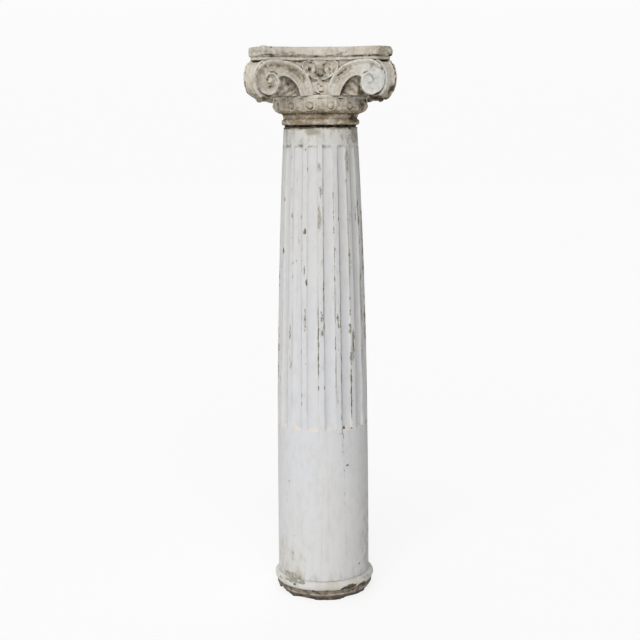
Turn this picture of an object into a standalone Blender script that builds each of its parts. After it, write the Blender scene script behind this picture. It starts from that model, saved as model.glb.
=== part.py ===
"""Fluted column with an angular volute capital, a stave-built shaft and a turned foot ring.

Metres, +Z up, the front faces -Y, and the origin is the centre of the underside.
"""
from math import cos, pi, radians, sin, sqrt, tan

import bpy
from mathutils import Matrix, Vector

# Joints between the stacked pieces
SEAT_GAP = 0.0003

# Foot ring; the overhangs are measured out from the shaft's foot
RING_FOOT_OVERHANG = 0.0040
RING_FILLET_OVERHANG = 0.0085
RING_FILLET_HEIGHT = 0.0190
RING_FILLET_EASE = 0.0020
RING_FOOT_HEIGHT = 0.0350
RING_ROLL_SECTION = 0.0125
RING_SEAT_MARGIN = 0.0022
RING_WEAR = 0.0030
RING_COLUMNS = 44

# Shaft
SHAFT_LENGTH = 1.4524
SHAFT_FOOT_RADIUS = 0.1495
SHAFT_NECK_RADIUS = 0.1165
ENTASIS_POWER = 2.48
SHAFT_EDGE_ROUND = 0.0030
FLUTE_COUNT = 16
FLUTE_SHARE = 2.0 / 3.0
FLUTE_DEPTH = 0.0080
FLUTE_TURN = radians(-1.2)
FLUTE_STOP_HEIGHT = 0.4970
FLUTE_STOP_SLOPE = 0.0100
FLUTE_HEAD_DROP = 0.0540
FLUTE_HEAD_ARCH = 0.0060
FLUTE_HEAD_SLOPE = 0.0070
FLUTE_STATIONS = (-1.0, -0.68, 0.0, 0.68, 1.0)
FLUTE_ROW_SHARES = (0.26, 0.50, 0.70, 0.86)
FLUTE_RIM_SHARE = 0.14

# Capital, bottom to top; the overhangs are measured out from the shaft's neck
CAPITAL_FOOT_RECESS = 0.0040
ASTRAGAL_HEIGHT = 0.0240
ASTRAGAL_OVERHANG = 0.0067
NECK_HEIGHT = 0.0180
NECK_OVERHANG = 0.0022
ECHINUS_HEIGHT = 0.0550
ECHINUS_OVERHANG = 0.0320
EGG_COUNT = 14
EGG_RELIEF = 0.0050
EGG_SECTION = (0.20, -0.35, 0.55, 1.0, 0.55, -0.35)
LEDGE_RISE = 0.0005
BELL_HEIGHT = 0.1020
BELL_OVERHANG = 0.0115
BELL_FLARE = 0.0140
ABACUS_FILLET_HEIGHT = 0.0090
ABACUS_FILLET_INSET = 0.0060
ABACUS_ROLL_HEIGHT = 0.0315
ABACUS_ROLL_EASE = 0.0060
ABACUS_OVERHANG = 0.1045
ABACUS_CORNER_CUT = 0.0485
ABACUS_SIDE_HOLLOW = 0.0480
ABACUS_SIDE_STEPS = 8

# Turned profiles: shares of the swell and height of the echinus with its share of the egg relief,
# shares of the flare and height of the bell, and shares of the height and ease of the abacus roll
ECHINUS_PROFILE = ((0.26, 0.00, 0.0), (0.70, 0.09, 0.0), (0.94, 0.23, 0.8),
                   (1.00, 0.42, 1.0), (1.03, 0.66, 0.3), (0.92, 1.00, 0.0))
BELL_PROFILE = ((0.0, 0.0), (0.3, 0.6), (1.0, 1.0))
ABACUS_ROLL_PROFILE = ((0.03, 1.0), (0.22, 0.13), (0.50, 0.0), (0.80, 0.12), (1.0, 1.0))

# Volutes: the face of each side is an arc in plan that runs on straight to the corner
FACE_OVERHANG = 0.0475
FACE_ARC_RADIUS = 0.2513
FACE_TURN = radians(28.0)
FACE_LEAN = 0.0240
CARVING_BITE = 0.0030
VOLUTE_EYE_OVERHANG = 0.0310
VOLUTE_RADIUS = 0.0625
VOLUTE_PITCH = 0.0389
VOLUTE_EYE_RADIUS = 0.0093
VOLUTE_NARROWING = 0.92
VOLUTE_RIDGE = 0.0050
VOLUTE_CHANNEL = 0.0090
VOLUTE_PROUD = 0.0110
VOLUTE_STEPS = 10
VOLUTE_STEM_STEPS = 4
SCROLL_BODY_INSET = 0.0010
SCROLL_BODY_INNER = 0.0300
STEM_OUTER_X = 0.0190
STEM_INNER_X = 0.0590
STEM_FOOT_BITE = 0.0040
STEM_BELL_BITE = 0.0280

# Handles of the stems' curves, as shares of the scroll's radius; the crest's place across is a
# share of the eye's, and the other two handles rise by a share of the stem's height
STEM_CREST = (0.47, 0.072)
STEM_OUTER_HANDLE = (0.05, 0.66)
STEM_INNER_START = (0.24, 0.27)
STEM_INNER_HANDLE = (0.14, 0.45)

# Small scrolls and bud in the middle of each side
HELIX_EYE_X = 0.0200
HELIX_RADIUS = 0.0280
HELIX_PITCH = 0.0160
HELIX_EYE_RADIUS = 0.0065
HELIX_NARROWING = 0.85
HELIX_CHANNEL = 0.0070
HELIX_PROUD = 0.0030
HELIX_DROP = 0.0620
HELIX_FOOT_OUTER_X = 0.0200
HELIX_FOOT_INNER_X = 0.0080
HELIX_CREST = (0.9, 0.11)
HELIX_OUTER_HANDLE = (1.45, -0.2)
HELIX_INNER_START = (0.21, 0.07)
HELIX_INNER_HANDLE = (0.14, -0.5)
HELIX_STEPS = 8
HELIX_STEM_STEPS = 2
WEB_WIDTH = 0.0400
WEB_SET_BACK = 0.0080
BUD_RADIUS = 0.0090
BUD_COLUMNS = 6
BUD_SWELLINGS = ((0.0, 0.35), (0.2, 0.75), (0.42, 0.45), (0.7, 1.0), (1.0, 0.4))

# Levels that follow from the heights
SHAFT_BOTTOM = RING_FOOT_HEIGHT + 2 * RING_ROLL_SECTION + SEAT_GAP
SHAFT_TOP = SHAFT_BOTTOM + SHAFT_LENGTH
CAPITAL_BOTTOM = SHAFT_TOP + SEAT_GAP
NECK_BOTTOM = CAPITAL_BOTTOM + ASTRAGAL_HEIGHT
ECHINUS_BOTTOM = NECK_BOTTOM + NECK_HEIGHT
ECHINUS_TOP = ECHINUS_BOTTOM + ECHINUS_HEIGHT
ABACUS_BOTTOM = ECHINUS_TOP + BELL_HEIGHT
ROLL_BOTTOM = ABACUS_BOTTOM + ABACUS_FILLET_HEIGHT
COLUMN_TOP = ROLL_BOTTOM + ABACUS_ROLL_HEIGHT

# Radii and distances from the axis that follow from the shaft and the overhangs
RING_FOOT_RADIUS = SHAFT_FOOT_RADIUS + RING_FOOT_OVERHANG
RING_FILLET_RADIUS = SHAFT_FOOT_RADIUS + RING_FILLET_OVERHANG
CAPITAL_FOOT_RADIUS = SHAFT_NECK_RADIUS - CAPITAL_FOOT_RECESS
ASTRAGAL_RADIUS = SHAFT_NECK_RADIUS + ASTRAGAL_OVERHANG
NECK_RADIUS = SHAFT_NECK_RADIUS + NECK_OVERHANG
ECHINUS_RADIUS = SHAFT_NECK_RADIUS + ECHINUS_OVERHANG
BELL_RADIUS = SHAFT_NECK_RADIUS + BELL_OVERHANG
FACE_DISTANCE = SHAFT_NECK_RADIUS + FACE_OVERHANG
VOLUTE_EYE_X = SHAFT_NECK_RADIUS + VOLUTE_EYE_OVERHANG
ABACUS_HALF_WIDTH = SHAFT_NECK_RADIUS + ABACUS_OVERHANG
STEM_BACK = BELL_RADIUS - STEM_BELL_BITE

FRONT = -pi / 2
QUARTER_TURNS = 4


def clear_scene():
    for existing in list(bpy.data.objects):
        bpy.data.objects.remove(existing, do_unlink=True)


def painted_wood(name, colour, roughness):
    material = bpy.data.materials.new(name)
    material.use_nodes = True
    shader = material.node_tree.nodes["Principled BSDF"]
    shader.inputs["Base Color"].default_value = (*colour, 1.0)
    shader.inputs["Roughness"].default_value = roughness
    shader.inputs["Metallic"].default_value = 0.0
    return material


def add_object(name, points, faces, material=None):
    mesh = bpy.data.meshes.new(name)
    mesh.from_pydata(points, [], faces)
    mesh.validate()
    if material:
        mesh.materials.append(material)
    made = bpy.data.objects.new(name, mesh)
    bpy.context.scene.collection.objects.link(made)
    return made


def smooth_shade(made, angle):
    made.data.shade_smooth()
    made.data.set_sharp_from_angle(angle=angle)


def band_faces(low, high):
    """Faces between two loops of point numbers; one may have twice as many points."""
    faces = []
    shorter = min(len(low), len(high))
    for here in range(shorter):
        ahead = (here + 1) % shorter
        if len(low) == len(high):
            faces.append((low[here], low[ahead], high[ahead], high[here]))
        elif len(low) < len(high):
            middle = high[2 * here + 1]
            faces.append((low[here], middle, high[2 * here]))
            faces.append((low[here], low[ahead], middle))
            faces.append((low[ahead], high[2 * ahead], middle))
        else:
            middle = low[2 * here + 1]
            faces.append((low[2 * here], middle, high[here]))
            faces.append((middle, high[ahead], high[here]))
            faces.append((middle, low[2 * ahead], high[ahead]))
    return faces


def stacked_loops(loops):
    """Closed skin through loops listed bottom to top, each counter-clockwise from above."""
    points = [point for loop in loops for point in loop]
    numbers = []
    start = 0
    for loop in loops:
        numbers.append(list(range(start, start + len(loop))))
        start += len(loop)
    faces = [tuple(reversed(numbers[0]))]
    for low, high in zip(numbers, numbers[1:]):
        faces += band_faces(low, high)
    faces.append(tuple(numbers[-1]))
    return points, faces


def polar(radius, angle, height):
    return Vector((radius * cos(angle), radius * sin(angle), height))


def smooth_step(value):
    value = min(max(value, 0.0), 1.0)
    return value * value * (3.0 - 2.0 * value)


def bezier(points, share):
    rest = 1.0 - share
    weights = (rest ** 3, 3 * rest ** 2 * share, 3 * rest * share ** 2, share ** 3)
    across = sum(weight * point[0] for weight, point in zip(weights, points))
    up = sum(weight * point[1] for weight, point in zip(weights, points))
    return across, up


# Foot ring

def ring_wear(angle):
    """Share of wear along the ragged lower edge, 0 to 1."""
    wave = sin(2 * angle + 0.6) + 0.7 * sin(5 * angle + 2.1) + 0.5 * sin(9 * angle)
    return 0.5 + 0.5 * wave / 2.2


def make_foot_ring(material):
    roll_centre_radius = SHAFT_FOOT_RADIUS + RING_SEAT_MARGIN
    roll_centre_height = RING_FOOT_HEIGHT + RING_ROLL_SECTION
    profile = [
        (RING_FOOT_RADIUS, 0.0, RING_WEAR),
        (RING_FILLET_RADIUS, RING_FILLET_HEIGHT, RING_WEAR / 2),
        (RING_FILLET_RADIUS, RING_FOOT_HEIGHT - RING_FILLET_EASE, 0.0),
        (RING_FILLET_RADIUS - RING_FILLET_EASE, RING_FOOT_HEIGHT, 0.0),
    ]
    for turn in (-60, -30, 0, 30, 60, 90):
        bend = radians(turn)
        profile.append((roll_centre_radius + RING_ROLL_SECTION * cos(bend),
                        roll_centre_height + RING_ROLL_SECTION * sin(bend), 0.0))
    loops = []
    for radius, height, wear in profile:
        loop = []
        for column in range(RING_COLUMNS):
            angle = 2 * pi * column / RING_COLUMNS
            loop.append(polar(radius - wear * ring_wear(angle), angle, height))
        loops.append(loop)
    ring = add_object("foot_ring", *stacked_loops(loops), material)
    smooth_shade(ring, radians(40))


# Shaft

def shaft_radius(height):
    """Radius of the fillets at a height, with the entasis."""
    rise = (height - SHAFT_BOTTOM) / SHAFT_LENGTH
    return SHAFT_FOOT_RADIUS - (SHAFT_FOOT_RADIUS - SHAFT_NECK_RADIUS) * rise ** ENTASIS_POWER


def flute_columns():
    """(angle, place across the flute from -1 to 1) of every column around the shaft."""
    pitch = 2 * pi / FLUTE_COUNT
    columns = []
    for flute in range(FLUTE_COUNT):
        centre = FRONT + FLUTE_TURN + pitch * (flute + 0.5)
        for place in FLUTE_STATIONS:
            columns.append((centre + place * FLUTE_SHARE * pitch / 2, place))
    return columns


def flute_hollow(place):
    return sqrt(max(0.0, 1.0 - place * place))


def ledge_share(place):
    """Share of a sloped ledge's rise, small but not nothing at the edges of the flute."""
    return FLUTE_RIM_SHARE + (1.0 - FLUTE_RIM_SHARE) * flute_hollow(place)


def shaft_rows():
    """Rows from the foot up: height for a place across the flute, and the share of depth there."""
    stop = SHAFT_BOTTOM + FLUTE_STOP_HEIGHT
    head = SHAFT_TOP - FLUTE_HEAD_DROP
    rows = [
        (lambda place: SHAFT_BOTTOM, 0.0),
        (lambda place: SHAFT_BOTTOM + FLUTE_STOP_HEIGHT / 2, 0.0),
        (lambda place: stop, 0.0),
        (lambda place: stop + FLUTE_STOP_SLOPE * ledge_share(place), 1.0),
    ]
    for share in FLUTE_ROW_SHARES:
        rows.append((lambda place, share=share: stop + share * (head - stop), 1.0))
    rows.append((lambda place: head - FLUTE_HEAD_ARCH * place * place
                 - FLUTE_HEAD_SLOPE * ledge_share(place), 1.0))
    rows.append((lambda place: head - FLUTE_HEAD_ARCH * place * place, 0.0))
    rows.append((lambda place: SHAFT_TOP - SHAFT_EDGE_ROUND, 0.0))
    return rows


def make_shaft(material):
    columns = flute_columns()
    loops = []
    for height_at, depth_share in shaft_rows():
        loop = []
        for angle, place in columns:
            height = height_at(place)
            radius = shaft_radius(height)
            depth = FLUTE_DEPTH * depth_share * radius / SHAFT_FOOT_RADIUS
            loop.append(polar(radius - depth * flute_hollow(place), angle, height))
        loops.append(loop)
    rim = SHAFT_NECK_RADIUS - SHAFT_EDGE_ROUND / 2
    loops.append([polar(rim, angle, SHAFT_TOP) for angle, place in columns])
    shaft = add_object("shaft", *stacked_loops(loops), material)
    smooth_shade(shaft, radians(25))


# Capital: turned core

def turned_loop(columns, radius, height):
    return [polar(radius, FRONT + 2 * pi * column / columns, height) for column in range(columns)]


def foot_loops(columns):
    """The foot of the capital: joint face, astragal and neck."""
    loops = [turned_loop(columns, CAPITAL_FOOT_RADIUS, CAPITAL_BOTTOM)]
    half = ASTRAGAL_HEIGHT / 2
    swell = ASTRAGAL_RADIUS - NECK_RADIUS
    for share in (-0.8, -0.35, 0.1, 0.55, 1.0):
        reach = NECK_RADIUS + swell * sqrt(1.0 - share * share)
        loops.append(turned_loop(columns, reach, CAPITAL_BOTTOM + half * (1.0 + share)))
    loops.append(turned_loop(columns, NECK_RADIUS, ECHINUS_BOTTOM))
    return loops


def echinus_loops():
    """The ring of eggs: relief lifts the eggs and darts and sinks the grooves between them."""
    swell = ECHINUS_RADIUS - EGG_RELIEF / 2 - NECK_RADIUS
    columns = EGG_COUNT * len(EGG_SECTION)
    loops = []
    for share, rise, relief in ECHINUS_PROFILE:
        loop = []
        for column in range(columns):
            lift = EGG_RELIEF * relief * EGG_SECTION[column % len(EGG_SECTION)]
            angle = FRONT + 2 * pi * column / columns
            loop.append(polar(NECK_RADIUS + share * swell + lift, angle,
                              ECHINUS_BOTTOM + rise * ECHINUS_HEIGHT + LEDGE_RISE))
        loops.append(loop)
    return loops


def bell_loops(columns):
    """The bell behind the stems, flaring up into the middle of the abacus fillet."""
    low = ECHINUS_TOP + 2 * LEDGE_RISE
    high = ABACUS_BOTTOM + ABACUS_FILLET_HEIGHT / 2
    return [turned_loop(columns, BELL_RADIUS + share * BELL_FLARE, low + rise * (high - low))
            for share, rise in BELL_PROFILE]


def make_core(material):
    """Turned core; the eggs have two columns to each one of the plain turning."""
    columns = EGG_COUNT * len(EGG_SECTION) // 2
    loops = foot_loops(columns) + echinus_loops() + bell_loops(columns)
    return add_object("capital", *stacked_loops(loops), material)


# Capital: abacus with hollowed sides and cut corners

def abacus_outline(inset, height):
    """Outline pulled in by an inset: four hollow sides joined by the cut corners."""
    half = ABACUS_HALF_WIDTH - inset
    end = ABACUS_HALF_WIDTH - ABACUS_CORNER_CUT - inset * tan(radians(22.5))
    hollow = ABACUS_SIDE_HOLLOW
    radius = (end * end + hollow * hollow) / (2 * hollow)
    side = []
    for step in range(ABACUS_SIDE_STEPS + 1):
        across = end * (2 * step / ABACUS_SIDE_STEPS - 1)
        sag = hollow - (radius - sqrt(radius * radius - across * across))
        side.append(Vector((across, -(half - sag), height)))
    loop = []
    for turn in range(QUARTER_TURNS):
        spin = Matrix.Rotation(turn * pi / 2, 4, "Z")
        loop.extend(spin @ point for point in side)
    return loop


def abacus():
    levels = [
        (ABACUS_FILLET_INSET, ABACUS_BOTTOM),
        (ABACUS_FILLET_INSET, ROLL_BOTTOM),
    ]
    for rise, ease in ABACUS_ROLL_PROFILE:
        levels.append((ease * ABACUS_ROLL_EASE, ROLL_BOTTOM + rise * ABACUS_ROLL_HEIGHT))
    return stacked_loops([abacus_outline(inset, height) for inset, height in levels])


# Capital: carved faces

def face_plan(across):
    """Distance of a side's face from the axis, in plan, at a distance across from its middle."""
    reach = abs(across)
    arc_end = FACE_ARC_RADIUS * sin(FACE_TURN)
    if reach < arc_end:
        return FACE_DISTANCE + FACE_ARC_RADIUS - sqrt(FACE_ARC_RADIUS ** 2 - reach ** 2)
    rise = FACE_ARC_RADIUS * (1.0 - cos(FACE_TURN))
    return FACE_DISTANCE + rise + (reach - arc_end) * tan(FACE_TURN)


def face_distance(across, height):
    """The same with the lean of the stems back to the bell below."""
    down = (ABACUS_BOTTOM - height) / BELL_HEIGHT
    inner = 1.0 - smooth_step(abs(across) / (VOLUTE_EYE_X * 0.75))
    return face_plan(across) - FACE_LEAN * down * inner


def face_point(across, height, sink):
    """Point on the front side's face, sunk along the outward normal."""
    reach = min(abs(across), FACE_ARC_RADIUS * sin(FACE_TURN))
    turn = reach / FACE_ARC_RADIUS
    level = sqrt(1.0 - turn * turn)
    side = 1.0 if across < 0 else -1.0
    distance = face_distance(across, height)
    return Vector((across - sink * turn * side, -distance + sink * level, height))


class Frond:
    """A scroll with its stem: a strip between two ridges, coiled around an eye."""

    def __init__(self, eye, radius, pitch, eye_radius, ridge, channel, proud, squeeze, steps):
        self.eye = eye
        self.radius = radius
        self.pitch = pitch
        self.eye_radius = eye_radius
        self.ridge = ridge
        self.channel = channel
        self.proud = proud
        self.squeeze = squeeze
        self.steps = steps
        self.last = max(steps + 1, round(steps * (radius - eye_radius) / pitch))
        self.front = []
        self.back = []
        self.faces = []

    def spiral_radius(self, station):
        share = min(1.0, station / self.last)
        return self.radius + (self.eye_radius - self.radius) * share

    def spot(self, radius, station):
        angle = pi / 2 + 2 * pi * station / self.steps
        return (self.eye[0] + radius * cos(angle) * self.squeeze, self.eye[1] + radius * sin(angle))

    def add(self, place, sink, back_distance=None):
        """Adds a point of the carved skin and the one behind it; a stem's back lies on a plane."""
        across, height = place
        self.front.append(face_point(across, height, sink - self.proud))
        if back_distance is None:
            self.back.append(face_point(across, height, self.channel + VOLUTE_PROUD / 2))
        else:
            self.back.append(Vector((across, -back_distance, height)))
        return len(self.front) - 1

    def coil(self, back_distance=None):
        """The coiled part; gives the points of the outer ridge by station."""
        last = self.last
        rim = [self.add(self.spot(self.spiral_radius(i), i), 0.0, back_distance)
               for i in range(last)]
        eye_ring = [self.add(self.spot(self.eye_radius, k), 0.0, back_distance)
                    for k in range(self.steps)]
        rim.append(eye_ring[last % self.steps])
        crest = []
        floor = []
        for i in range(last):
            outer = self.spiral_radius(i)
            inner = self.spiral_radius(i + self.steps)
            width = min(self.ridge, 0.3 * (outer - inner))
            floor_spot = self.spot((outer - width + inner) / 2, i)
            floor.append(self.add(floor_spot, self.channel, back_distance))
            if self.ridge:
                crest.append(self.add(self.spot(outer - width, i), 0.0, back_distance))
            else:
                crest.append(rim[i])
        crest.append(rim[last])
        floor.append(rim[last])
        knob = self.add(self.eye, -0.4 * self.eye_radius, back_distance)

        def inward(i):
            return rim[i] if i <= last else eye_ring[i % self.steps]

        for i in range(last):
            self.quad(rim[i], rim[i + 1], crest[i + 1], crest[i])
            self.quad(crest[i], crest[i + 1], floor[i + 1], floor[i])
            self.quad(floor[i], floor[i + 1], inward(i + 1 + self.steps), inward(i + self.steps))
        for k in range(self.steps):
            self.quad(eye_ring[k], eye_ring[(k + 1) % self.steps], knob)
        return rim, [rim[0], crest[0], floor[0], inward(self.steps)]

    def quad(self, *corners):
        face = []
        for corner in corners:
            if corner not in face:
                face.append(corner)
        if len(face) > 2:
            self.faces.append(tuple(face))

    def stem(self, rim, row, outer_curve, inner_curve, back_at, stem_steps):
        """The stem, from the top of the coil along two curves to its foot."""
        attach = self.steps - 2
        outer_edge = []
        inner_edge = []
        for step in range(1, stem_steps + 3):
            share = step / (stem_steps + 2)
            outer = bezier(outer_curve, share)
            if step <= 2:
                bound = rim[self.steps - step]
                inner = self.rim_place(self.steps - step)
            else:
                inner = bezier(inner_curve, (step - 2) / stem_steps)
            gap = Vector((inner[0] - outer[0], inner[1] - outer[1]))
            edge = gap.normalized() * min(self.ridge, 0.3 * gap.length)
            near = (outer[0] + edge.x, outer[1] + edge.y)
            middle = (outer[0] + gap.x / 2, outer[1] + gap.y / 2)
            far = (inner[0] - edge.x, inner[1] - edge.y)
            outer_edge.append(self.add(outer, 0.0, back_at(outer[0])))
            new = [outer_edge[-1]]
            new.append(self.add(near, 0.0, back_at(near[0])) if self.ridge else new[0])
            new.append(self.add(middle, self.channel, back_at(middle[0])))
            if step <= 2:
                new.append(bound)
            else:
                inner_edge.append(self.add(inner, 0.0, back_at(inner[0])))
                new.append(self.add(far, 0.0, back_at(far[0])) if self.ridge else inner_edge[-1])
                new.append(inner_edge[-1])
            self.quad(row[0], row[1], new[1], new[0])
            self.quad(row[1], row[2], new[2], new[1])
            self.quad(row[2], row[3], new[3], new[2])
            if len(new) == 5:
                self.quad(row[3], row[-1], new[4], new[3])
            row = new
        boundary = list(reversed(outer_edge)) + rim[:attach + 1] + inner_edge
        boundary += [corner for corner in reversed(row[1:-1]) if corner not in boundary]
        return boundary

    def rim_place(self, station):
        return self.spot(self.spiral_radius(station), station)

    def solid(self, boundary):
        """Carved skin, its back and the wall between them."""
        count = len(self.front)
        points = self.front + self.back
        faces = list(self.faces)
        faces += [tuple(corner + count for corner in reversed(face)) for face in self.faces]
        for here, ahead in zip(boundary, boundary[1:] + boundary[:1]):
            faces.append((ahead, here, here + count, ahead + count))
        return points, faces


def volute():
    """The left volute of the front side, with its stem down to the echinus."""
    top = ABACUS_BOTTOM + CARVING_BITE / 2
    eye = (-VOLUTE_EYE_X, top - VOLUTE_RADIUS)
    foot = ECHINUS_TOP - STEM_FOOT_BITE
    frond = Frond(eye, VOLUTE_RADIUS, VOLUTE_PITCH, VOLUTE_EYE_RADIUS, ridge=VOLUTE_RIDGE,
                  channel=VOLUTE_CHANNEL, proud=0.0, squeeze=VOLUTE_NARROWING * cos(FACE_TURN),
                  steps=VOLUTE_STEPS)
    rim, row = frond.coil()
    attach = frond.rim_place(frond.steps - 2)
    outer_curve = (frond.rim_place(0),
                   (-STEM_CREST[0] * VOLUTE_EYE_X, top + STEM_CREST[1] * VOLUTE_RADIUS),
                   (-STEM_OUTER_X - STEM_OUTER_HANDLE[0] * VOLUTE_RADIUS,
                    foot + STEM_OUTER_HANDLE[1] * (top - foot)),
                   (-STEM_OUTER_X, foot))
    inner_curve = (attach,
                   (attach[0] + STEM_INNER_START[0] * VOLUTE_RADIUS,
                    attach[1] + STEM_INNER_START[1] * VOLUTE_RADIUS),
                   (-STEM_INNER_X - STEM_INNER_HANDLE[0] * VOLUTE_RADIUS,
                    foot + STEM_INNER_HANDLE[1] * (top - foot)),
                   (-STEM_INNER_X, foot))

    def back_at(across):
        return max(abs(across) - CARVING_BITE, STEM_BACK)

    boundary = frond.stem(rim, row, outer_curve, inner_curve, back_at, VOLUTE_STEM_STEPS)
    return frond.solid(boundary)


def helix():
    """The small scroll right of the middle of the front side."""
    top = ABACUS_BOTTOM + CARVING_BITE / 2
    eye = (HELIX_EYE_X, top - HELIX_RADIUS)
    foot = ABACUS_BOTTOM - HELIX_DROP
    frond = Frond(eye, HELIX_RADIUS, HELIX_PITCH, HELIX_EYE_RADIUS, ridge=0.0,
                  channel=HELIX_CHANNEL, proud=HELIX_PROUD, squeeze=HELIX_NARROWING,
                  steps=HELIX_STEPS)
    rim, row = frond.coil(STEM_BACK)
    attach = frond.rim_place(frond.steps - 2)
    outer_curve = (frond.rim_place(0),
                   (eye[0] + HELIX_CREST[0] * HELIX_RADIUS, top + HELIX_CREST[1] * HELIX_RADIUS),
                   (eye[0] + HELIX_OUTER_HANDLE[0] * HELIX_RADIUS,
                    eye[1] + HELIX_OUTER_HANDLE[1] * HELIX_RADIUS),
                   (HELIX_FOOT_OUTER_X, foot))
    inner_curve = (attach,
                   (attach[0] + HELIX_INNER_START[0] * HELIX_RADIUS,
                    attach[1] + HELIX_INNER_START[1] * HELIX_RADIUS),
                   (attach[0] + HELIX_INNER_HANDLE[0] * HELIX_RADIUS,
                    attach[1] + HELIX_INNER_HANDLE[1] * HELIX_RADIUS),
                   (HELIX_FOOT_INNER_X, foot))
    boundary = frond.stem(rim, row, outer_curve, inner_curve, lambda across: STEM_BACK,
                          HELIX_STEM_STEPS)
    return frond.solid(boundary)


def scroll_body():
    """The thick round of a corner scroll, its two sides parallel to the carved faces."""
    top = ABACUS_BOTTOM + CARVING_BITE
    eye_distance = face_plan(VOLUTE_EYE_X)
    eye_along = (VOLUTE_EYE_X + eye_distance) / sqrt(2)
    eye_aside = (eye_distance - VOLUTE_EYE_X) / sqrt(2)
    slope = tan(pi / 4 - FACE_TURN)
    rim_reach = VOLUTE_NARROWING * (VOLUTE_RADIUS - VOLUTE_PITCH / 4)
    outer_reach = rim_reach * cos(pi / 4 - FACE_TURN) - SCROLL_BODY_INSET
    inside = BELL_RADIUS - CARVING_BITE
    outline = [(inside, top), (eye_along, top)]
    for turn in range(70, -191, -20):
        bend = radians(turn)
        reach = outer_reach if turn > -90 else SCROLL_BODY_INNER
        outline.append((eye_along + reach * cos(bend), top - VOLUTE_RADIUS * (1.0 - sin(bend))))
    outline.append((inside, top - VOLUTE_RADIUS * 0.72))
    outline.reverse()
    near_side = []
    far_side = []
    for along, height in outline:
        half = eye_aside + (eye_along - along) * slope - VOLUTE_PROUD
        near_side.append(Vector((along, -half, height)))
        far_side.append(Vector((along, half, height)))
    spin = Matrix.Rotation(FRONT + pi / 4, 4, "Z")
    return stacked_loops([[spin @ point for point in loop] for loop in (far_side, near_side)])


def web():
    """Plain ground between the small scrolls, in front of the bell."""
    front = FACE_DISTANCE - WEB_SET_BACK
    low = ECHINUS_TOP - STEM_FOOT_BITE
    high = ABACUS_BOTTOM + CARVING_BITE
    half = WEB_WIDTH / 2
    loops = []
    for height in (low, high):
        face = front - FACE_LEAN * (ABACUS_BOTTOM - height) / BELL_HEIGHT
        loops.append([Vector((-half, -face, height)), Vector((half, -face, height)),
                      Vector((half, -STEM_BACK, height)), Vector((-half, -STEM_BACK, height))])
    return stacked_loops(loops)


def bud():
    """Bud below the small scrolls, a stack of swellings that narrows downward."""
    low = ECHINUS_TOP - STEM_FOOT_BITE / 2
    high = ABACUS_BOTTOM - HELIX_DROP + STEM_FOOT_BITE
    loops = []
    for share, size in BUD_SWELLINGS:
        height = low + share * (high - low)
        centre = face_distance(0.0, height) - WEB_SET_BACK
        loop = []
        for column in range(BUD_COLUMNS):
            angle = 2 * pi * column / BUD_COLUMNS
            loop.append(Vector((BUD_RADIUS * size * cos(angle),
                                -centre + BUD_RADIUS * size * sin(angle), height)))
        loops.append(loop)
    return stacked_loops(loops)


def turned_copy(shape, spin, mirrored):
    points, faces = shape
    if mirrored:
        points = [Vector((-point.x, point.y, point.z)) for point in points]
        faces = [tuple(reversed(face)) for face in faces]
    return [spin @ point for point in points], faces


def make_capital(material):
    capital = make_core(material)
    carving = bpy.data.collections.new("capital_carving")
    bpy.context.scene.collection.children.link(carving)
    shapes = [("abacus", abacus(), Matrix.Identity(4), False)]
    sides = (("volute", volute()), ("helix", helix()))
    for turn in range(QUARTER_TURNS):
        spin = Matrix.Rotation(turn * pi / 2, 4, "Z")
        for name, shape in sides:
            shapes.append((name + "_a_%d" % turn, shape, spin, False))
            shapes.append((name + "_b_%d" % turn, shape, spin, True))
        shapes.append(("scroll_body_%d" % turn, scroll_body(), spin, False))
        shapes.append(("web_%d" % turn, web(), spin, False))
        shapes.append(("bud_%d" % turn, bud(), spin, False))
    for name, shape, spin, mirrored in shapes:
        guide = add_object(name, *turned_copy(shape, spin, mirrored))
        bpy.context.scene.collection.objects.unlink(guide)
        carving.objects.link(guide)
        guide.hide_render = True
        guide.display_type = "WIRE"
    union = capital.modifiers.new("carving", "BOOLEAN")
    union.operation = "UNION"
    union.solver = "EXACT"
    union.operand_type = "COLLECTION"
    union.collection = carving
    smooth_shade(capital, radians(30))


def main():
    clear_scene()
    make_foot_ring(painted_wood("ring_paint", (0.56, 0.54, 0.49), 0.75))
    make_shaft(painted_wood("shaft_paint", (0.66, 0.66, 0.65), 0.65))
    make_capital(painted_wood("capital_paint", (0.58, 0.54, 0.47), 0.8))


main()
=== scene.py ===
import math
import random

import bmesh
import bpy
import numpy as np
from mathutils import Euler, Matrix, Vector, noise
from mathutils.bvhtree import BVHTree


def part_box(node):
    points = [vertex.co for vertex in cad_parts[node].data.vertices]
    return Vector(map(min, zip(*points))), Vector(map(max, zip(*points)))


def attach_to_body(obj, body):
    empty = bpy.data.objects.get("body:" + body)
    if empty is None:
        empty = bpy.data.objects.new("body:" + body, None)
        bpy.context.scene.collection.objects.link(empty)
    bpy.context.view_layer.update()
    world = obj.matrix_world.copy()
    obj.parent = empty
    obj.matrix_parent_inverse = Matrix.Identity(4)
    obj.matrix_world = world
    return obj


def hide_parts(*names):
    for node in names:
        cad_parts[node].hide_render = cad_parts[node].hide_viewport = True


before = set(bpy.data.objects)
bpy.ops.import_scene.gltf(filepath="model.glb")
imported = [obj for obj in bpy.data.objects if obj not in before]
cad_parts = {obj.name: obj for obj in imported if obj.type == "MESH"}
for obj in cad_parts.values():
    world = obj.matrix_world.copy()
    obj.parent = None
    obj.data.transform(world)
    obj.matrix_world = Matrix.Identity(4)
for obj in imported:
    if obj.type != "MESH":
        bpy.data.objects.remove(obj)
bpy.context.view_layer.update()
ringLow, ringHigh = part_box("foot_ring")
shaftLow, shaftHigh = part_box("shaft")
capitalLow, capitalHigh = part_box("capital")
front = -math.pi / 2  # the photographed side faces -Y
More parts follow.
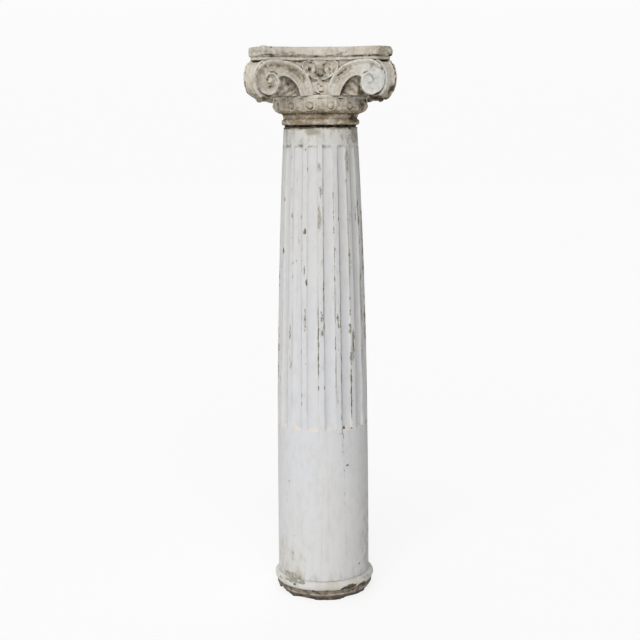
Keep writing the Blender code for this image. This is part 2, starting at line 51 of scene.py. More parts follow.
print("frame loaded")


# Small helpers

def smoothStep(value, low, high):
    share = np.clip((value - low) / (high - low), 0.0, 1.0)
    return share * share * (3.0 - 2.0 * share)


def fallStep(value, low, high):
    # 1 up to low, falling to 0 at high
    return smoothStep(-value, -high, -low)


def hump(value, middle, width):
    # 1 at the middle, fading on both sides
    return np.exp(-((value - middle) / width) ** 2)


def nodeRadius(node, height, reach=0.004):
    # largest distance from the axis of a CAD node's corners near a height
    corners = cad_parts[node].data.vertices
    return max(v.co.xy.length for v in corners if abs(v.co.z - height) < reach)


def roughNoise(points, scale, seed, octaves=3):
    # fractal noise at many points, about -1 to 1; scale is one number or one for each axis
    stretched = points * np.array(scale, float) + seed
    return np.array([noise.fractal(Vector(p), 0.9, 2.0, octaves) for p in stretched])


def wrappedSkin(rows, columns):
    # a line of points spun round the axis; gives the bmesh with the row and column of each point
    bm = bmesh.new()
    line = [bm.verts.new((1.0, 0.0, row)) for row in range(rows)]
    edges = [bm.edges.new(pair) for pair in zip(line, line[1:])]
    bmesh.ops.spin(bm, geom=line + edges, cent=(0, 0, 0), axis=(0, 0, 1), dvec=(0, 0, 0),
                   angle=2 * math.pi, steps=columns, use_merge=True)
    row = np.array([round(v.co.z) for v in bm.verts])
    turn = np.array([math.atan2(v.co.y, v.co.x) for v in bm.verts]) / (2 * math.pi)
    column = np.round(turn * columns).astype(int) % columns
    return bm, row, column


def placePoints(bm, places):
    for vert, place in zip(bm.verts, places):
        vert.co = place


def addObject(name, data):
    thing = bpy.data.objects.new(name, data)
    bpy.context.scene.collection.objects.link(thing)
    return thing


def meshFrom(bm, name):
    mesh = bpy.data.meshes.new(name)
    bm.to_mesh(mesh)
    bm.free()
    return mesh


def closedPiece(bm, name):
    # poles and seams merged, faces turned outwards
    bmesh.ops.remove_doubles(bm, verts=bm.verts, dist=1e-5)
    bmesh.ops.recalc_face_normals(bm, faces=bm.faces)
    mesh = meshFrom(bm, name)
    mesh.shade_smooth()
    return addObject(name, mesh)


def layValues(bm, values):
    # named values on the points, which ride through the merging of the poles
    for name, numbers in values.items():
        layer = bm.verts.layers.float.new(name)
        for vert, number in zip(bm.verts, numbers):
            vert[layer] = number


def angleAway(degrees, centre):
    return (degrees - centre + 180.0) % 360.0 - 180.0


def roundPlaces(radius, degrees, height):
    # places round the axis, their angles in degrees from the front
    angle = np.radians(degrees) + front
    return np.stack([radius * np.cos(angle), radius * np.sin(angle), height], 1)


def spotReach(degrees, height, radius, spot):
    # distance from the middle of a spot on the round, 1 at its half width and half height
    centre, middle, half, rise = spot[:4]
    return np.hypot(np.radians(angleAway(degrees, centre)) * radius / half, (height - middle) / rise)


def softSpots(degrees, height, radius, spots, fade, power):
    # the strongest of many soft spots at each point
    marks = np.zeros(len(degrees))
    for spot in spots:
        marks = np.maximum(marks, spot[4] * np.exp(-fade * spotReach(degrees, height, radius, spot) ** power))
    return marks


def meshPoints(mesh):
    places = np.zeros(len(mesh.vertices) * 3)
    mesh.vertices.foreach_get("co", places)
    return places.reshape(-1, 3)


def meshNormals(mesh):
    normals = np.zeros(len(mesh.vertices) * 3)
    mesh.vertex_normals.foreach_get("vector", normals)
    return normals.reshape(-1, 3)


def setPoints(mesh, places):
    mesh.vertices.foreach_set("co", places.ravel())
    mesh.update()


def paintValue(mesh, name, values):
    layer = mesh.attributes.get(name) or mesh.attributes.new(name, "FLOAT", "POINT")
    layer.data.foreach_set("value", np.asarray(values, np.float32))


def finishPiece(piece, node, material):
    piece.data.materials.clear()
    piece.data.materials.append(material)
    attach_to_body(piece, "root")
    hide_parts(node)


# Camera, floor and light

cameraSetup = {
    "place": (-0.0063, -3.95, 1.504),
    "pitch": 8.78,
    "roll": -0.45,
    "lens": 69.19,
    "sensor": 36.0,
}
lightSetup = {
    "sun": {"from": (-0.13, -0.75, 0.65), "spread": 50.0, "strength": 1.68},
    "skyHorizon": 0.850,
    "skyAbove": 0.98,
    "skyRise": (0.0, 0.25),
    "skyFront": 0.52,  # the darker parts of the sky, and along which axis each starts and is full
    "skyLeft": 0.52,
    "skyRight": 0.02,
    "frontEdge": ("Y", 0.75, 0.0),
    "leftEdge": ("X", -0.28, -0.80),
    "rightEdge": ("X", 0.16, 0.70),
    "seenHorizon": 0.960,  # the background that the camera sees, level with the floor
    "seenAbove": 0.99,
    "seenRise": (0.0, 0.30),
    "floorGlow": 0.80,  # share of white light that only the camera sees on the floor
    "floorColour": (0.985, 0.985, 0.985),
    "floorRoughness": 0.9,
    "floorReach": 30.0,
}


def makeCamera():
    data = bpy.data.cameras.new("photoCamera")
    data.sensor_width = cameraSetup["sensor"]
    data.lens = cameraSetup["lens"]
    camera = addObject("photoCamera", data)
    tilt = Euler((math.pi / 2 - math.radians(cameraSetup["pitch"]), 0.0, 0.0)).to_matrix().to_4x4()
    roll = Matrix.Rotation(math.radians(cameraSetup["roll"]), 4, "Z")
    camera.matrix_world = Matrix.Translation(cameraSetup["place"]) @ tilt @ roll
    bpy.context.scene.camera = camera


def makeLights():
    # a broad soft sun from the front left, and a sky that is darker in front and at the sides
    setup = lightSetup
    sun = bpy.data.lights.new("softSun", "SUN")
    sun.angle = math.radians(setup["sun"]["spread"])
    sun.energy = setup["sun"]["strength"]
    lamp = addObject("softSun", sun)
    lamp.rotation_euler = Vector(setup["sun"]["from"]).to_track_quat("Z", "Y").to_euler()
    world = bpy.data.worlds.new("studio")
    world.use_nodes = True
    tree = world.node_tree
    direction = addNode(tree, "ShaderNodeTexCoord").outputs["Generated"]
    toward = addNode(tree, "ShaderNodeSeparateXYZ", {"Vector": direction})
    glow = levels(tree, toward.outputs["Z"], *setup["skyRise"], setup["skyHorizon"], setup["skyAbove"])
    for part in ("front", "right", "left"):
        axis, start, full = setup[part + "Edge"]
        share = levels(tree, toward.outputs[axis], start, full)
        glow = mixedValue(tree, share, glow, setup["sky" + part.title()])
    seen = levels(tree, toward.outputs["Z"], *setup["seenRise"], setup["seenHorizon"], setup["seenAbove"])
    direct = addNode(tree, "ShaderNodeLightPath").outputs["Is Camera Ray"]
    tree.links.new(mixedValue(tree, direct, glow, seen), tree.nodes["Background"].inputs["Strength"])
    tree.nodes["Background"].inputs["Color"].default_value = (1.0, 1.0, 1.0, 1.0)
    bpy.context.scene.world = world


def makeFloor():
    bm = bmesh.new()
    bmesh.ops.create_grid(bm, x_segments=1, y_segments=1, size=lightSetup["floorReach"])
    floor = addObject("floor", meshFrom(bm, "floor"))
    paper = bpy.data.materials.new("paleFloor")
    paper.use_nodes = True
    tree = paper.node_tree
    shader = tree.nodes["Principled BSDF"]
    shader.inputs["Base Color"].default_value = (*lightSetup["floorColour"], 1.0)
    shader.inputs["Roughness"].default_value = lightSetup["floorRoughness"]
    direct = addNode(tree, "ShaderNodeLightPath").outputs["Is Camera Ray"]
    white = addNode(tree, "ShaderNodeEmission", {"Strength": 1.0})
    seen = addNode(tree, "ShaderNodeMixShader", {0: times(tree, direct, lightSetup["floorGlow"]),
                                                 1: shader.outputs[0], 2: white.outputs[0]})
    tree.links.new(seen.outputs[0], tree.nodes["Material Output"].inputs["Surface"])
    floor.data.materials.append(paper)


# Node helpers

def addNode(tree, kind, sockets=None, **settings):
    node = tree.nodes.new(kind)
    for name, value in settings.items():
        setattr(node, name, value)
    for name, value in (sockets or {}).items():
        socket = node.inputs[name]
        if isinstance(value, bpy.types.NodeSocket):
            tree.links.new(value, socket)
        else:
            socket.default_value = value
    return node


def noiseValue(tree, vector, scale, detail, roughness=0.6):
    node = addNode(tree, "ShaderNodeTexNoise",
                   {"Vector": vector, "Scale": scale, "Detail": detail, "Roughness": roughness})
    return node.outputs["Fac"]


def noiseMask(tree, place, scale, detail, low, high, stretch=(1.0, 1.0, 1.0), offset=(0.0, 0.0, 0.0)):
    # noise on Object coordinates, pushed to a mask between two levels
    moved = addNode(tree, "ShaderNodeMapping", {"Vector": place, "Scale": stretch, "Location": offset})
    return levels(tree, noiseValue(tree, moved.outputs[0], scale, detail), low, high)


def levels(tree, value, low, high, start=0.0, end=1.0):
    node = addNode(tree, "ShaderNodeMapRange",
                   {"Value": value, "From Min": low, "From Max": high, "To Min": start, "To Max": end},
                   interpolation_type="SMOOTHSTEP")
    return node.outputs["Result"]


def maths(tree, operation, first, second):
    return addNode(tree, "ShaderNodeMath", {0: first, 1: second}, operation=operation).outputs[0]


def plus(tree, first, second):
    return maths(tree, "ADD", first, second)


def minus(tree, first, second):
    return maths(tree, "SUBTRACT", first, second)


def times(tree, first, second):
    return maths(tree, "MULTIPLY", first, second)


def mixedValue(tree, share, first, second):
    return addNode(tree, "ShaderNodeMix", {0: share, 2: first, 3: second}).outputs[0]


def mixed(tree, share, first, second):
    node = addNode(tree, "ShaderNodeMix", {"Factor": share}, data_type="RGBA")
    for socket, colour in ((node.inputs[6], first), (node.inputs[7], second)):
        if isinstance(colour, bpy.types.NodeSocket):
            tree.links.new(colour, socket)
        else:
            socket.default_value = (*colour, 1.0)
    return node.outputs[2]


def readValue(tree, name):
    return addNode(tree, "ShaderNodeAttribute", attribute_name=name).outputs["Fac"]


makeCamera()
makeLights()
makeFloor()
bpy.context.scene.view_settings.view_transform = "Standard"
print("camera, light and floor made")


# Materials; a noise mask of a finish is used by its name

def newFinish(name, finish):
    # a new material, with a function that makes the finish's noise masks
    material = bpy.data.materials.new(name)
    material.use_nodes = True
    tree = material.node_tree
    place = addNode(tree, "ShaderNodeTexCoord").outputs["Object"]

    def mask(label):
        return noiseMask(tree, place, **finish[label])
    return material, tree, place, mask


def closeFinish(tree, finish, colour, relief, roughness=None):
    # colour, sheen and relief joined to the material's shader
    shader = tree.nodes["Principled BSDF"]
    tree.links.new(colour, shader.inputs["Base Color"])
    shader.inputs["Specular IOR Level"].default_value = finish["specular"]
    shader.inputs["Roughness"].default_value = finish["roughness"]
    if roughness is not None:
        tree.links.new(roughness, shader.inputs["Roughness"])
    bump = addNode(tree, "ShaderNodeBump", {"Height": relief, "Distance": finish["reliefDepth"],
                                            "Strength": finish["reliefStrength"]})
    tree.links.new(bump.outputs[0], shader.inputs["Normal"])


def frayed(tree, vector, value, swings, roughness):
    # a laid value with its outline broken up by noise, given as pairs of scale and weight
    for scale, weight in swings:
        grain = noiseValue(tree, vector, scale, 4.0, roughness)
        value = plus(tree, value, times(tree, minus(tree, grain, 0.5), weight))
    return value


shaftFinish = {
    "coolWhite": (0.675, 0.678, 0.690),
    "warmWhite": (0.655, 0.640, 0.595),
    "streakGrey": (0.43, 0.42, 0.39),
    "edgeDirtAndShade": (0.26, 0.23, 0.175),
    "bareWood": (0.350, 0.315, 0.245),
    "darkWood": (0.095, 0.083, 0.060),
    "oldStain": (0.345, 0.308, 0.232),
    "peach": (0.76, 0.62, 0.49),
    "roughness": 0.62,
    "woodRoughness": 0.9,
    "specular": 0.35,
    "warmPatches": dict(scale=3.2, detail=3, low=0.42, high=0.62, stretch=(1.0, 1.0, 0.35)),
    "warmShare": 0.45,
    "streaks": dict(scale=95.0, detail=4, low=0.52, high=0.80, stretch=(1.0, 1.0, 0.045)),
    "streakShare": 0.30,
    "clouds": dict(scale=52.0, detail=6, low=0.42, high=0.70, stretch=(1.0, 1.0, 0.5), offset=(3.1, 0.0, 1.7)),
    "grimeAllOver": 0.10,
    "peachPatches": dict(scale=60.0, detail=3, low=0.35, high=0.60),
    "rimLines": dict(scale=60.0, detail=3, low=0.34, high=0.62, stretch=(1.0, 1.0, 0.10), offset=(2.0, 4.0, 0.0)),
    "specks": dict(scale=170.0, detail=2, low=0.735, high=0.79, stretch=(1.0, 1.0, 0.45)),
    "speckShare": 0.7,
    "stainFray": ((70.0, 1.3), (250.0, 0.9)),
    "stainLevels": (0.34, 0.90, 0.0, 0.85),
    "flakeStretch": (1.0, 1.0, 0.42),
    "flakeFray": ((95.0, 1.7), (330.0, 1.0)),
    "chipLevels": (0.47, 0.56),
    "deepLevels": (0.60, 0.86),
    "brokenSeams": dict(scale=130.0, detail=3, low=0.34, high=0.64, stretch=(1.0, 1.0, 0.5), offset=(6.0, 0.0, 2.0)),
    "seamBase": 0.50,
    "seamLevels": (0.24, 0.95),
    "brushStretch": (1.0, 1.0, 0.05),
    "brushScale": 260.0,
    "brushShare": 0.35,
    "reliefDepth": 0.0009,
    "reliefStrength": 0.8,
}


def makeShaftPaint():
    finish = shaftFinish
    material, tree, place, mask = newFinish("chippedWhitePaint", finish)
    warm = maths(tree, "MAXIMUM", times(tree, mask("warmPatches"), finish["warmShare"]), readValue(tree, "warm"))
    colour = mixed(tree, warm, finish["coolWhite"], finish["warmWhite"])
    colour = mixed(tree, times(tree, mask("streaks"), finish["streakShare"]), colour, finish["streakGrey"])
    # dirt, with painted shade low on the right side and painted shadow along the top edge
    grimeAndShade = times(tree, mask("clouds"), plus(tree, readValue(tree, "grimeAndShade"), finish["grimeAllOver"]))
    colour = mixed(tree, grimeAndShade, colour, finish["edgeDirtAndShade"])
    colour = mixed(tree, times(tree, readValue(tree, "peach"), mask("peachPatches")), colour, finish["peach"])
    colour = mixed(tree, times(tree, mask("rimLines"), readValue(tree, "edge")), colour, finish["edgeDirtAndShade"])
    colour = mixed(tree, times(tree, mask("specks"), finish["speckShare"]), colour, finish["edgeDirtAndShade"])
    stain = frayed(tree, place, readValue(tree, "stain"), finish["stainFray"], 0.6)
    colour = mixed(tree, levels(tree, stain, *finish["stainLevels"]), colour, finish["oldStain"])
    flakes = addNode(tree, "ShaderNodeMapping", {"Vector": place, "Scale": finish["flakeStretch"]})
    torn = frayed(tree, flakes.outputs[0], readValue(tree, "chip"), finish["flakeFray"], 0.62)
    chip = levels(tree, torn, *finish["chipLevels"])
    wood = mixed(tree, levels(tree, torn, *finish["deepLevels"]), finish["bareWood"], finish["darkWood"])
    colour = mixed(tree, chip, colour, wood)
    seam = times(tree, readValue(tree, "crack"), plus(tree, mask("brokenSeams"), finish["seamBase"]))
    colour = mixed(tree, levels(tree, seam, *finish["seamLevels"]), colour, finish["darkWood"])
    brush = addNode(tree, "ShaderNodeMapping", {"Vector": place, "Scale": finish["brushStretch"]})
    strokes = noiseValue(tree, brush.outputs[0], finish["brushScale"], 3.0, 0.5)
    relief = minus(tree, times(tree, strokes, finish["brushShare"]), chip)
    roughness = levels(tree, chip, 0.0, 1.0, finish["roughness"], finish["woodRoughness"])
    closeFinish(tree, finish, colour, relief, roughness)
    return material


capitalFinish = {
    "cream": (0.700, 0.656, 0.568),
    "cleanWhite": (0.68, 0.68, 0.655),
    "rubbedEdgeHighlight": (0.80, 0.77, 0.69),
    "sand": (0.430, 0.370, 0.280),
    "greyBrown": (0.305, 0.264, 0.196),
    "rust": (0.228, 0.150, 0.064),
    "sootAndShade": (0.058, 0.046, 0.028),
    # near-black of the painted shadow in the open joint
    "openJoint": (0.010, 0.008, 0.006),
    "roughness": 0.85,
    "specular": 0.2,
    "patches": dict(scale=18.0, detail=5, low=0.40, high=0.62),
    "freckles": dict(scale=130.0, detail=4, low=0.38, high=0.66, offset=(4.0, 1.0, 9.0)),
    "sandShare": 0.44,
    "cleanScroll": (0.150, -0.225, 1.652),
    "cleanReach": 0.085,
    "cleanPatches": dict(scale=30.0, detail=3, low=0.22, high=0.45),
    "cleanLift": 0.18,
    "lightPatches": dict(scale=48.0, detail=4, low=0.50, high=0.68, offset=(5.0, 2.0, 1.0)),
    "lightShare": 0.60,
    "rubbedHighlightPatches": dict(scale=75.0, detail=4, low=0.34, high=0.56),
    "rubbedHighlightLevels": (-0.05, -0.50),
    "rubbedHighlightShare": 0.75,
    "grain": dict(scale=90.0, detail=5, low=0.30, high=0.68),
    "broad": dict(scale=21.0, detail=4, low=0.42, high=0.68, offset=(1.0, 7.0, 3.0)),
    "grainShare": 0.30,
    "greyLevels": (0.26, 0.80, 0.0, 0.95),
    "weatheredCorner": (0.205, -0.215, 1.737),
    "cornerReach": 0.046,
    "cornerPatches": dict(scale=120.0, detail=4, low=0.30, high=0.62),
    "cornerShare": 0.85,
    "rustTop": 0.062,  # above the capital's foot, as is the height where the rust is full
    "rustFull": 0.036,
    "rustPatches": dict(scale=46.0, detail=6, low=0.38, high=0.61, stretch=(0.6, 0.6, 1.8)),
    "rustRim": dict(scale=60.0, detail=5, low=0.40, high=0.60, offset=(7.0, 3.0, 2.0)),
    "rimRise": 0.022,
    "rimShare": 0.75,
    "rustShare": 0.80,
    "flecks": dict(scale=80.0, detail=4, low=0.55, high=0.64, offset=(9.0, 2.0, 5.0)),
    "fleckShare": 0.60,
    "rustEase": 0.004,
    "sootAndShadeLevels": (0.66, 1.00),
    "sootAndShadeShare": 0.92,
    "jointShadowLevels": (1.10, 1.40),
    "pits": dict(scale=240.0, detail=2, low=0.68, high=0.75),
    "pitShare": 0.7,
    "crustScale": 190.0,
    "reliefDepth": 0.0022,
    "reliefStrength": 0.85,
}


def roundMask(tree, place, centre, reach, core=0.35):
    # 1 near a point of the piece, fading to 0 at the reach
    away = addNode(tree, "ShaderNodeVectorMath", {0: place, 1: centre}, operation="DISTANCE")
    return levels(tree, away.outputs["Value"], reach, reach * core)


def makeCapitalPaint():
    finish = capitalFinish
    material, tree, place, mask = newFinish("grimyCreamPaint", finish)
    height = addNode(tree, "ShaderNodeSeparateXYZ", {"Vector": place}).outputs["Z"]
    sandy = times(tree, plus(tree, mask("patches"), mask("freckles")), finish["sandShare"])
    colour = mixed(tree, sandy, finish["cream"], finish["sand"])
    clean = times(tree, roundMask(tree, place, finish["cleanScroll"], finish["cleanReach"]), mask("cleanPatches"))
    light = times(tree, mask("lightPatches"), finish["lightShare"])
    colour = mixed(tree, maths(tree, "MAXIMUM", clean, light), colour, finish["cleanWhite"])
    # the hollow value: painted shade where the carving is closed in and underneath, dirt and painted shadow laid in
    # places; below zero, a painted highlight with rubbed wear
    hollow = readValue(tree, "hollow")
    # painted highlight, with rubbed paint, on what stands out
    rubbedHighlight = times(tree, levels(tree, hollow, *finish["rubbedHighlightLevels"]), mask("rubbedHighlightPatches"))
    colour = mixed(tree, times(tree, rubbedHighlight, finish["rubbedHighlightShare"]), colour, finish["rubbedEdgeHighlight"])
    grain = mask("grain")
    dusk = minus(tree, hollow, times(tree, clean, finish["cleanLift"]))
    dusk = plus(tree, dusk, times(tree, grain, finish["grainShare"]))
    broad = times(tree, mask("broad"), finish["grainShare"])
    greyed = plus(tree, times(tree, grain, broad), levels(tree, dusk, *finish["greyLevels"]))
    corner = roundMask(tree, place, finish["weatheredCorner"], finish["cornerReach"], 0.6)
    corner = times(tree, times(tree, corner, finish["cornerShare"]), mask("cornerPatches"))
    colour = mixed(tree, maths(tree, "MAXIMUM", greyed, corner), colour, finish["greyBrown"])
    rustTop, ease = capitalLow.z + finish["rustTop"], finish["rustEase"]
    stain = times(tree, levels(tree, height, rustTop, capitalLow.z + finish["rustFull"]), mask("rustPatches"))
    rim = levels(tree, height, rustTop + finish["rimRise"], rustTop - ease, 0.0, finish["rimShare"])
    stain = maths(tree, "MAXIMUM", stain, times(tree, rim, mask("rustRim")))
    colour = mixed(tree, times(tree, stain, finish["rustShare"]), colour, finish["rust"])
    below = levels(tree, height, rustTop + ease, rustTop - ease, 0.0, finish["fleckShare"])
    colour = mixed(tree, times(tree, below, mask("flecks")), colour, finish["cream"])
    # near-black where the hollow value is highest: painted deep shade with soot
    sootyAndShaded = times(tree, levels(tree, dusk, *finish["sootAndShadeLevels"]), finish["sootAndShadeShare"])
    colour = mixed(tree, sootyAndShaded, colour, finish["sootAndShade"])
    # near-black painted shadow in the open joint
    colour = mixed(tree, levels(tree, hollow, *finish["jointShadowLevels"]), colour, finish["openJoint"])
    pits = times(tree, mask("pits"), finish["pitShare"])
    colour = mixed(tree, pits, colour, finish["sootAndShade"])
    crust = noiseValue(tree, place, finish["crustScale"], 6.0, 0.7)
    closeFinish(tree, finish, colour, minus(tree, crust, pits))
    return material


ringFinish = {
    "cream": (0.60, 0.565, 0.495),
    "white": (0.66, 0.65, 0.625),
    "brown": (0.200, 0.155, 0.105),
    "dark": (0.060, 0.050, 0.036),
    "footBrown": (0.130, 0.102, 0.072),
    "footPale": (0.240, 0.200, 0.158),
    # the painted highlight along the fillet's lower edge
    "ledge": (0.520, 0.450, 0.375),
    "peel": (0.300, 0.295, 0.250),
    "roughness": 0.8,
    "specular": 0.25,
    "patches": dict(scale=22.0, detail=4, low=0.40, high=0.62),
    "ragged": dict(scale=90.0, detail=4, low=0.25, high=0.70),
    "dirtRag": 0.40,
    "dirtAndShadeLevels": (0.40, 1.10),
    "dirtAndShadeShare": 0.75,
    "crusty": dict(scale=55.0, detail=5, low=0.42, high=0.62, offset=(2.0, 8.0, 5.0)),
    "darkPatches": dict(scale=75.0, detail=5, low=0.50, high=0.66, offset=(9.0, 1.0, 3.0)),
    "ledgeHighlightPatches": dict(scale=34.0, detail=4, low=0.36, high=0.56),
    "underShadePatches": dict(scale=28.0, detail=4, low=0.26, high=0.48),
    "footShare": 0.95,
    "peelScale": 110.0,
    "peelRag": 1.2,
    "peelLevels": (0.98, 1.16, 0.0, 0.9),
    "chipRag": 0.35,
    "chipLevels": (0.48, 0.66),
    "woodPatches": dict(scale=60.0, detail=5, low=0.35, high=0.65),
    "specks": dict(scale=170.0, detail=2, low=0.70, high=0.76),
    "speckShare": 0.6,
    "crustScale": 150.0,
    "reliefDepth": 0.0013,
    "reliefStrength": 0.7,
}


def makeRingPaint():
    finish = ringFinish
    material, tree, place, mask = newFinish("wornRingPaint", finish)
    colour = mixed(tree, mask("patches"), finish["white"], finish["cream"])
    ragged = mask("ragged")
    # brown where the hollow value and the ragged noise are high: painted shade in the groove under the roll, darker at
    # the seat, dirt low down and in patches
    dirtyAndShaded = plus(tree, readValue(tree, "hollow"), times(tree, ragged, finish["dirtRag"]))
    dirtyAndShaded = times(tree, levels(tree, dirtyAndShaded, *finish["dirtAndShadeLevels"]), finish["dirtAndShadeShare"])
    colour = mixed(tree, dirtyAndShaded, colour, finish["brown"])
    below = mixed(tree, mask("crusty"), finish["footBrown"], finish["footPale"])
    below = mixed(tree, mask("darkPatches"), below, finish["dark"])
    # painted highlight along the fillet's lower edge
    below = mixed(tree, times(tree, readValue(tree, "ledge"), mask("ledgeHighlightPatches")), below, finish["ledge"])
    # painted shade on the foot's underside
    below = mixed(tree, times(tree, readValue(tree, "underShade"), mask("underShadePatches")), below, finish["dark"])
    colour = mixed(tree, times(tree, readValue(tree, "foot"), finish["footShare"]), colour, below)
    blots = noiseValue(tree, place, finish["peelScale"], 5.0, 0.65)
    peel = plus(tree, readValue(tree, "peel"), times(tree, blots, finish["peelRag"]))
    colour = mixed(tree, levels(tree, peel, *finish["peelLevels"]), colour, finish["peel"])
    torn = plus(tree, readValue(tree, "chip"), times(tree, ragged, finish["chipRag"]))
    wood = mixed(tree, mask("woodPatches"), finish["dark"], finish["brown"])
    colour = mixed(tree, levels(tree, torn, *finish["chipLevels"]), colour, wood)
    colour = mixed(tree, times(tree, mask("specks"), finish["speckShare"]), colour, finish["dark"])
    closeFinish(tree, finish, colour, noiseValue(tree, place, finish["crustScale"], 6.0, 0.7))
    return material


shaftPaint = makeShaftPaint()
ringPaint = makeRingPaint()
capitalPaint = makeCapitalPaint()
print("materials made")


# Shaft

shaftShape = {
    "flutes": 16,
    "columnsEach": 24,
    "fluteShare": 2 / 3,
    "fluteDepth": 0.0080,
    "fluteTurn": -1.2,  # degrees from the front to the middle fillet
    "entasis": 2.48,
    "edgeRound": 0.0030,
    "stopHeight": 0.4970,
    "stopSlope": 0.0100,
    "headDrop": 0.0540,
    "headArch": 0.0060,
    "headSlope": 0.0070,
    "rimShare": 0.14,
}
# Stretches where the paint has gone, on the fillet of that number counted from the front one to the
# right: side of the fillet (-1 left edge, 0 middle, 1 right edge), lowest and highest height,
# half width in metres and strength
wornFillets = [
    (0, 0.3, 1.305, 1.33, 0.0025, 0.60), (0, -0.3, 1.383, 1.40, 0.0022, 0.60), (0, -0.6, 1.20, 1.27, 0.0020, 0.46),
    (0, 1, 1.13, 1.32, 0.0017, 0.56), (0, 1, 1.04, 1.12, 0.0022, 0.46), (0, 1, 0.895, 1.016, 0.0024, 0.80),
    (0, -1, 0.755, 0.935, 0.0020, 0.80), (0, 0.2, 0.880, 0.935, 0.0045, 0.50), (0, -1, 0.696, 0.702, 0.0022, 0.85),
    (0, 1, 0.696, 0.702, 0.0022, 0.85), (1, -1, 1.20, 1.315, 0.0020, 0.64), (1, 1, 1.225, 1.235, 0.0030, 0.85),
    (1, 1, 1.25, 1.39, 0.0014, 0.50), (1, -1, 0.93, 1.13, 0.0016, 0.58), (1, 1, 0.595, 1.06, 0.0018, 0.64),
    (1, 1, 0.90, 0.955, 0.0027, 0.86), (1, 1, 0.72, 0.80, 0.0025, 0.80), (1, 0, 0.893, 0.922, 0.0055, 0.54),
    (1, -1, 0.825, 0.862, 0.0016, 0.85), (1, -1, 0.745, 0.757, 0.0020, 0.85), (1, -1, 0.698, 0.704, 0.0020, 0.80),
    (1, -0.4, 0.648, 0.678, 0.0040, 0.46), (1, 1, 0.595, 0.61, 0.0025, 0.90), (2, -0.2, 1.375, 1.445, 0.0048, 0.46),
    (2, 1, 1.287, 1.365, 0.0022, 0.78), (2, -1, 1.342, 1.352, 0.0022, 0.80), (2, -1, 1.19, 1.29, 0.0020, 0.62),
    (2, 1, 1.08, 1.24, 0.0018, 0.56), (2, -0.7, 1.065, 1.125, 0.0030, 0.56), (2, -1, 0.977, 0.981, 0.0018, 0.75),
    (2, -1, 0.930, 0.940, 0.0020, 0.80), (2, -1, 0.870, 0.892, 0.0036, 0.84), (2, 0.1, 0.79, 0.862, 0.0064, 0.62),
    (2, -0.9, 0.767, 0.80, 0.0045, 0.70), (2, -1, 0.607, 0.753, 0.0022, 0.80), (3, -0.5, 1.21, 1.28, 0.0052, 0.70),
    (3, -1.6, 1.225, 1.26, 0.0030, 0.62), (3, -0.3, 0.82, 1.13, 0.0020, 0.86), (-1, 0, 1.06, 1.08, 0.0030, 0.60),
    (-1, 0.9, 1.026, 1.040, 0.0023, 0.74), (-1, 0.4, 0.893, 0.942, 0.0034, 0.74),
    (-1, -1.1, 0.875, 0.915, 0.0022, 0.60), (-1, 0.1, 0.664, 0.672, 0.0020, 0.72),
    (-1, -0.9, 1.09, 1.17, 0.0016, 0.50), (-2, 0.3, 1.17, 1.25, 0.0014, 0.62), (-2, 0, 0.855, 0.89, 0.0032, 0.78),
    (-2, 0, 1.030, 1.038, 0.0018, 0.72), (-2, 0, 0.765, 0.81, 0.0022, 0.64), (-3, 0, 1.05, 1.14, 0.0016, 0.70),
    (-3, -1, 0.76, 0.88, 0.0016, 0.55),
]
# Single losses: degrees from the front, height, half width, half height and strength
# the first five, along the top edge under the capital, are dirt with painted shadow under the astragal
shaftLosses = [
    (-38, 1.511, 0.045, 0.0045, 0.95), (-5, 1.5125, 0.030, 0.003, 0.70), (-13, 1.510, 0.020, 0.005, 0.70),
    (27, 1.511, 0.035, 0.004, 0.80), (52, 1.510, 0.025, 0.006, 0.85), (46, 1.468, 0.005, 0.010, 0.60),
    (-22.5, 1.444, 0.0018, 0.005, 1.0), (-22.8, 1.189, 0.0055, 0.0105, 1.05), (-20.2, 1.382, 0.0012, 0.016, 0.75),
    (-38, 1.352, 0.002, 0.010, 0.70), (-50, 1.300, 0.003, 0.006, 0.70), (-34, 1.16, 0.0014, 0.040, 0.60),
    (-30, 1.235, 0.0016, 0.012, 0.70), (28.7, 0.565, 0.0045, 0.0045, 1.1), (22.4, 0.544, 0.0045, 0.0035, 0.80),
    (31.1, 0.443, 0.0075, 0.0035, 0.85), (51.3, 0.1027, 0.0035, 0.0040, 1.1), (-42.1, 0.131, 0.0030, 0.022, 0.70),
    (-60, 0.125, 0.0025, 0.026, 0.60), (-50, 0.072, 0.024, 0.0075, 0.66), (-32, 0.066, 0.016, 0.006, 0.70),
    (-52, 0.32, 0.004, 0.0045, 0.62), (-48, 0.385, 0.004, 0.005, 0.52), (-40, 0.205, 0.004, 0.006, 0.52),
    (-58, 0.52, 0.004, 0.010, 0.45), (12, 0.44, 0.003, 0.004, 0.5), (17, 1.165, 0.0018, 0.0045, 0.8),
    (16, 0.987, 0.0018, 0.0045, 0.7), (-38, 1.098, 0.002, 0.004, 0.6),
]
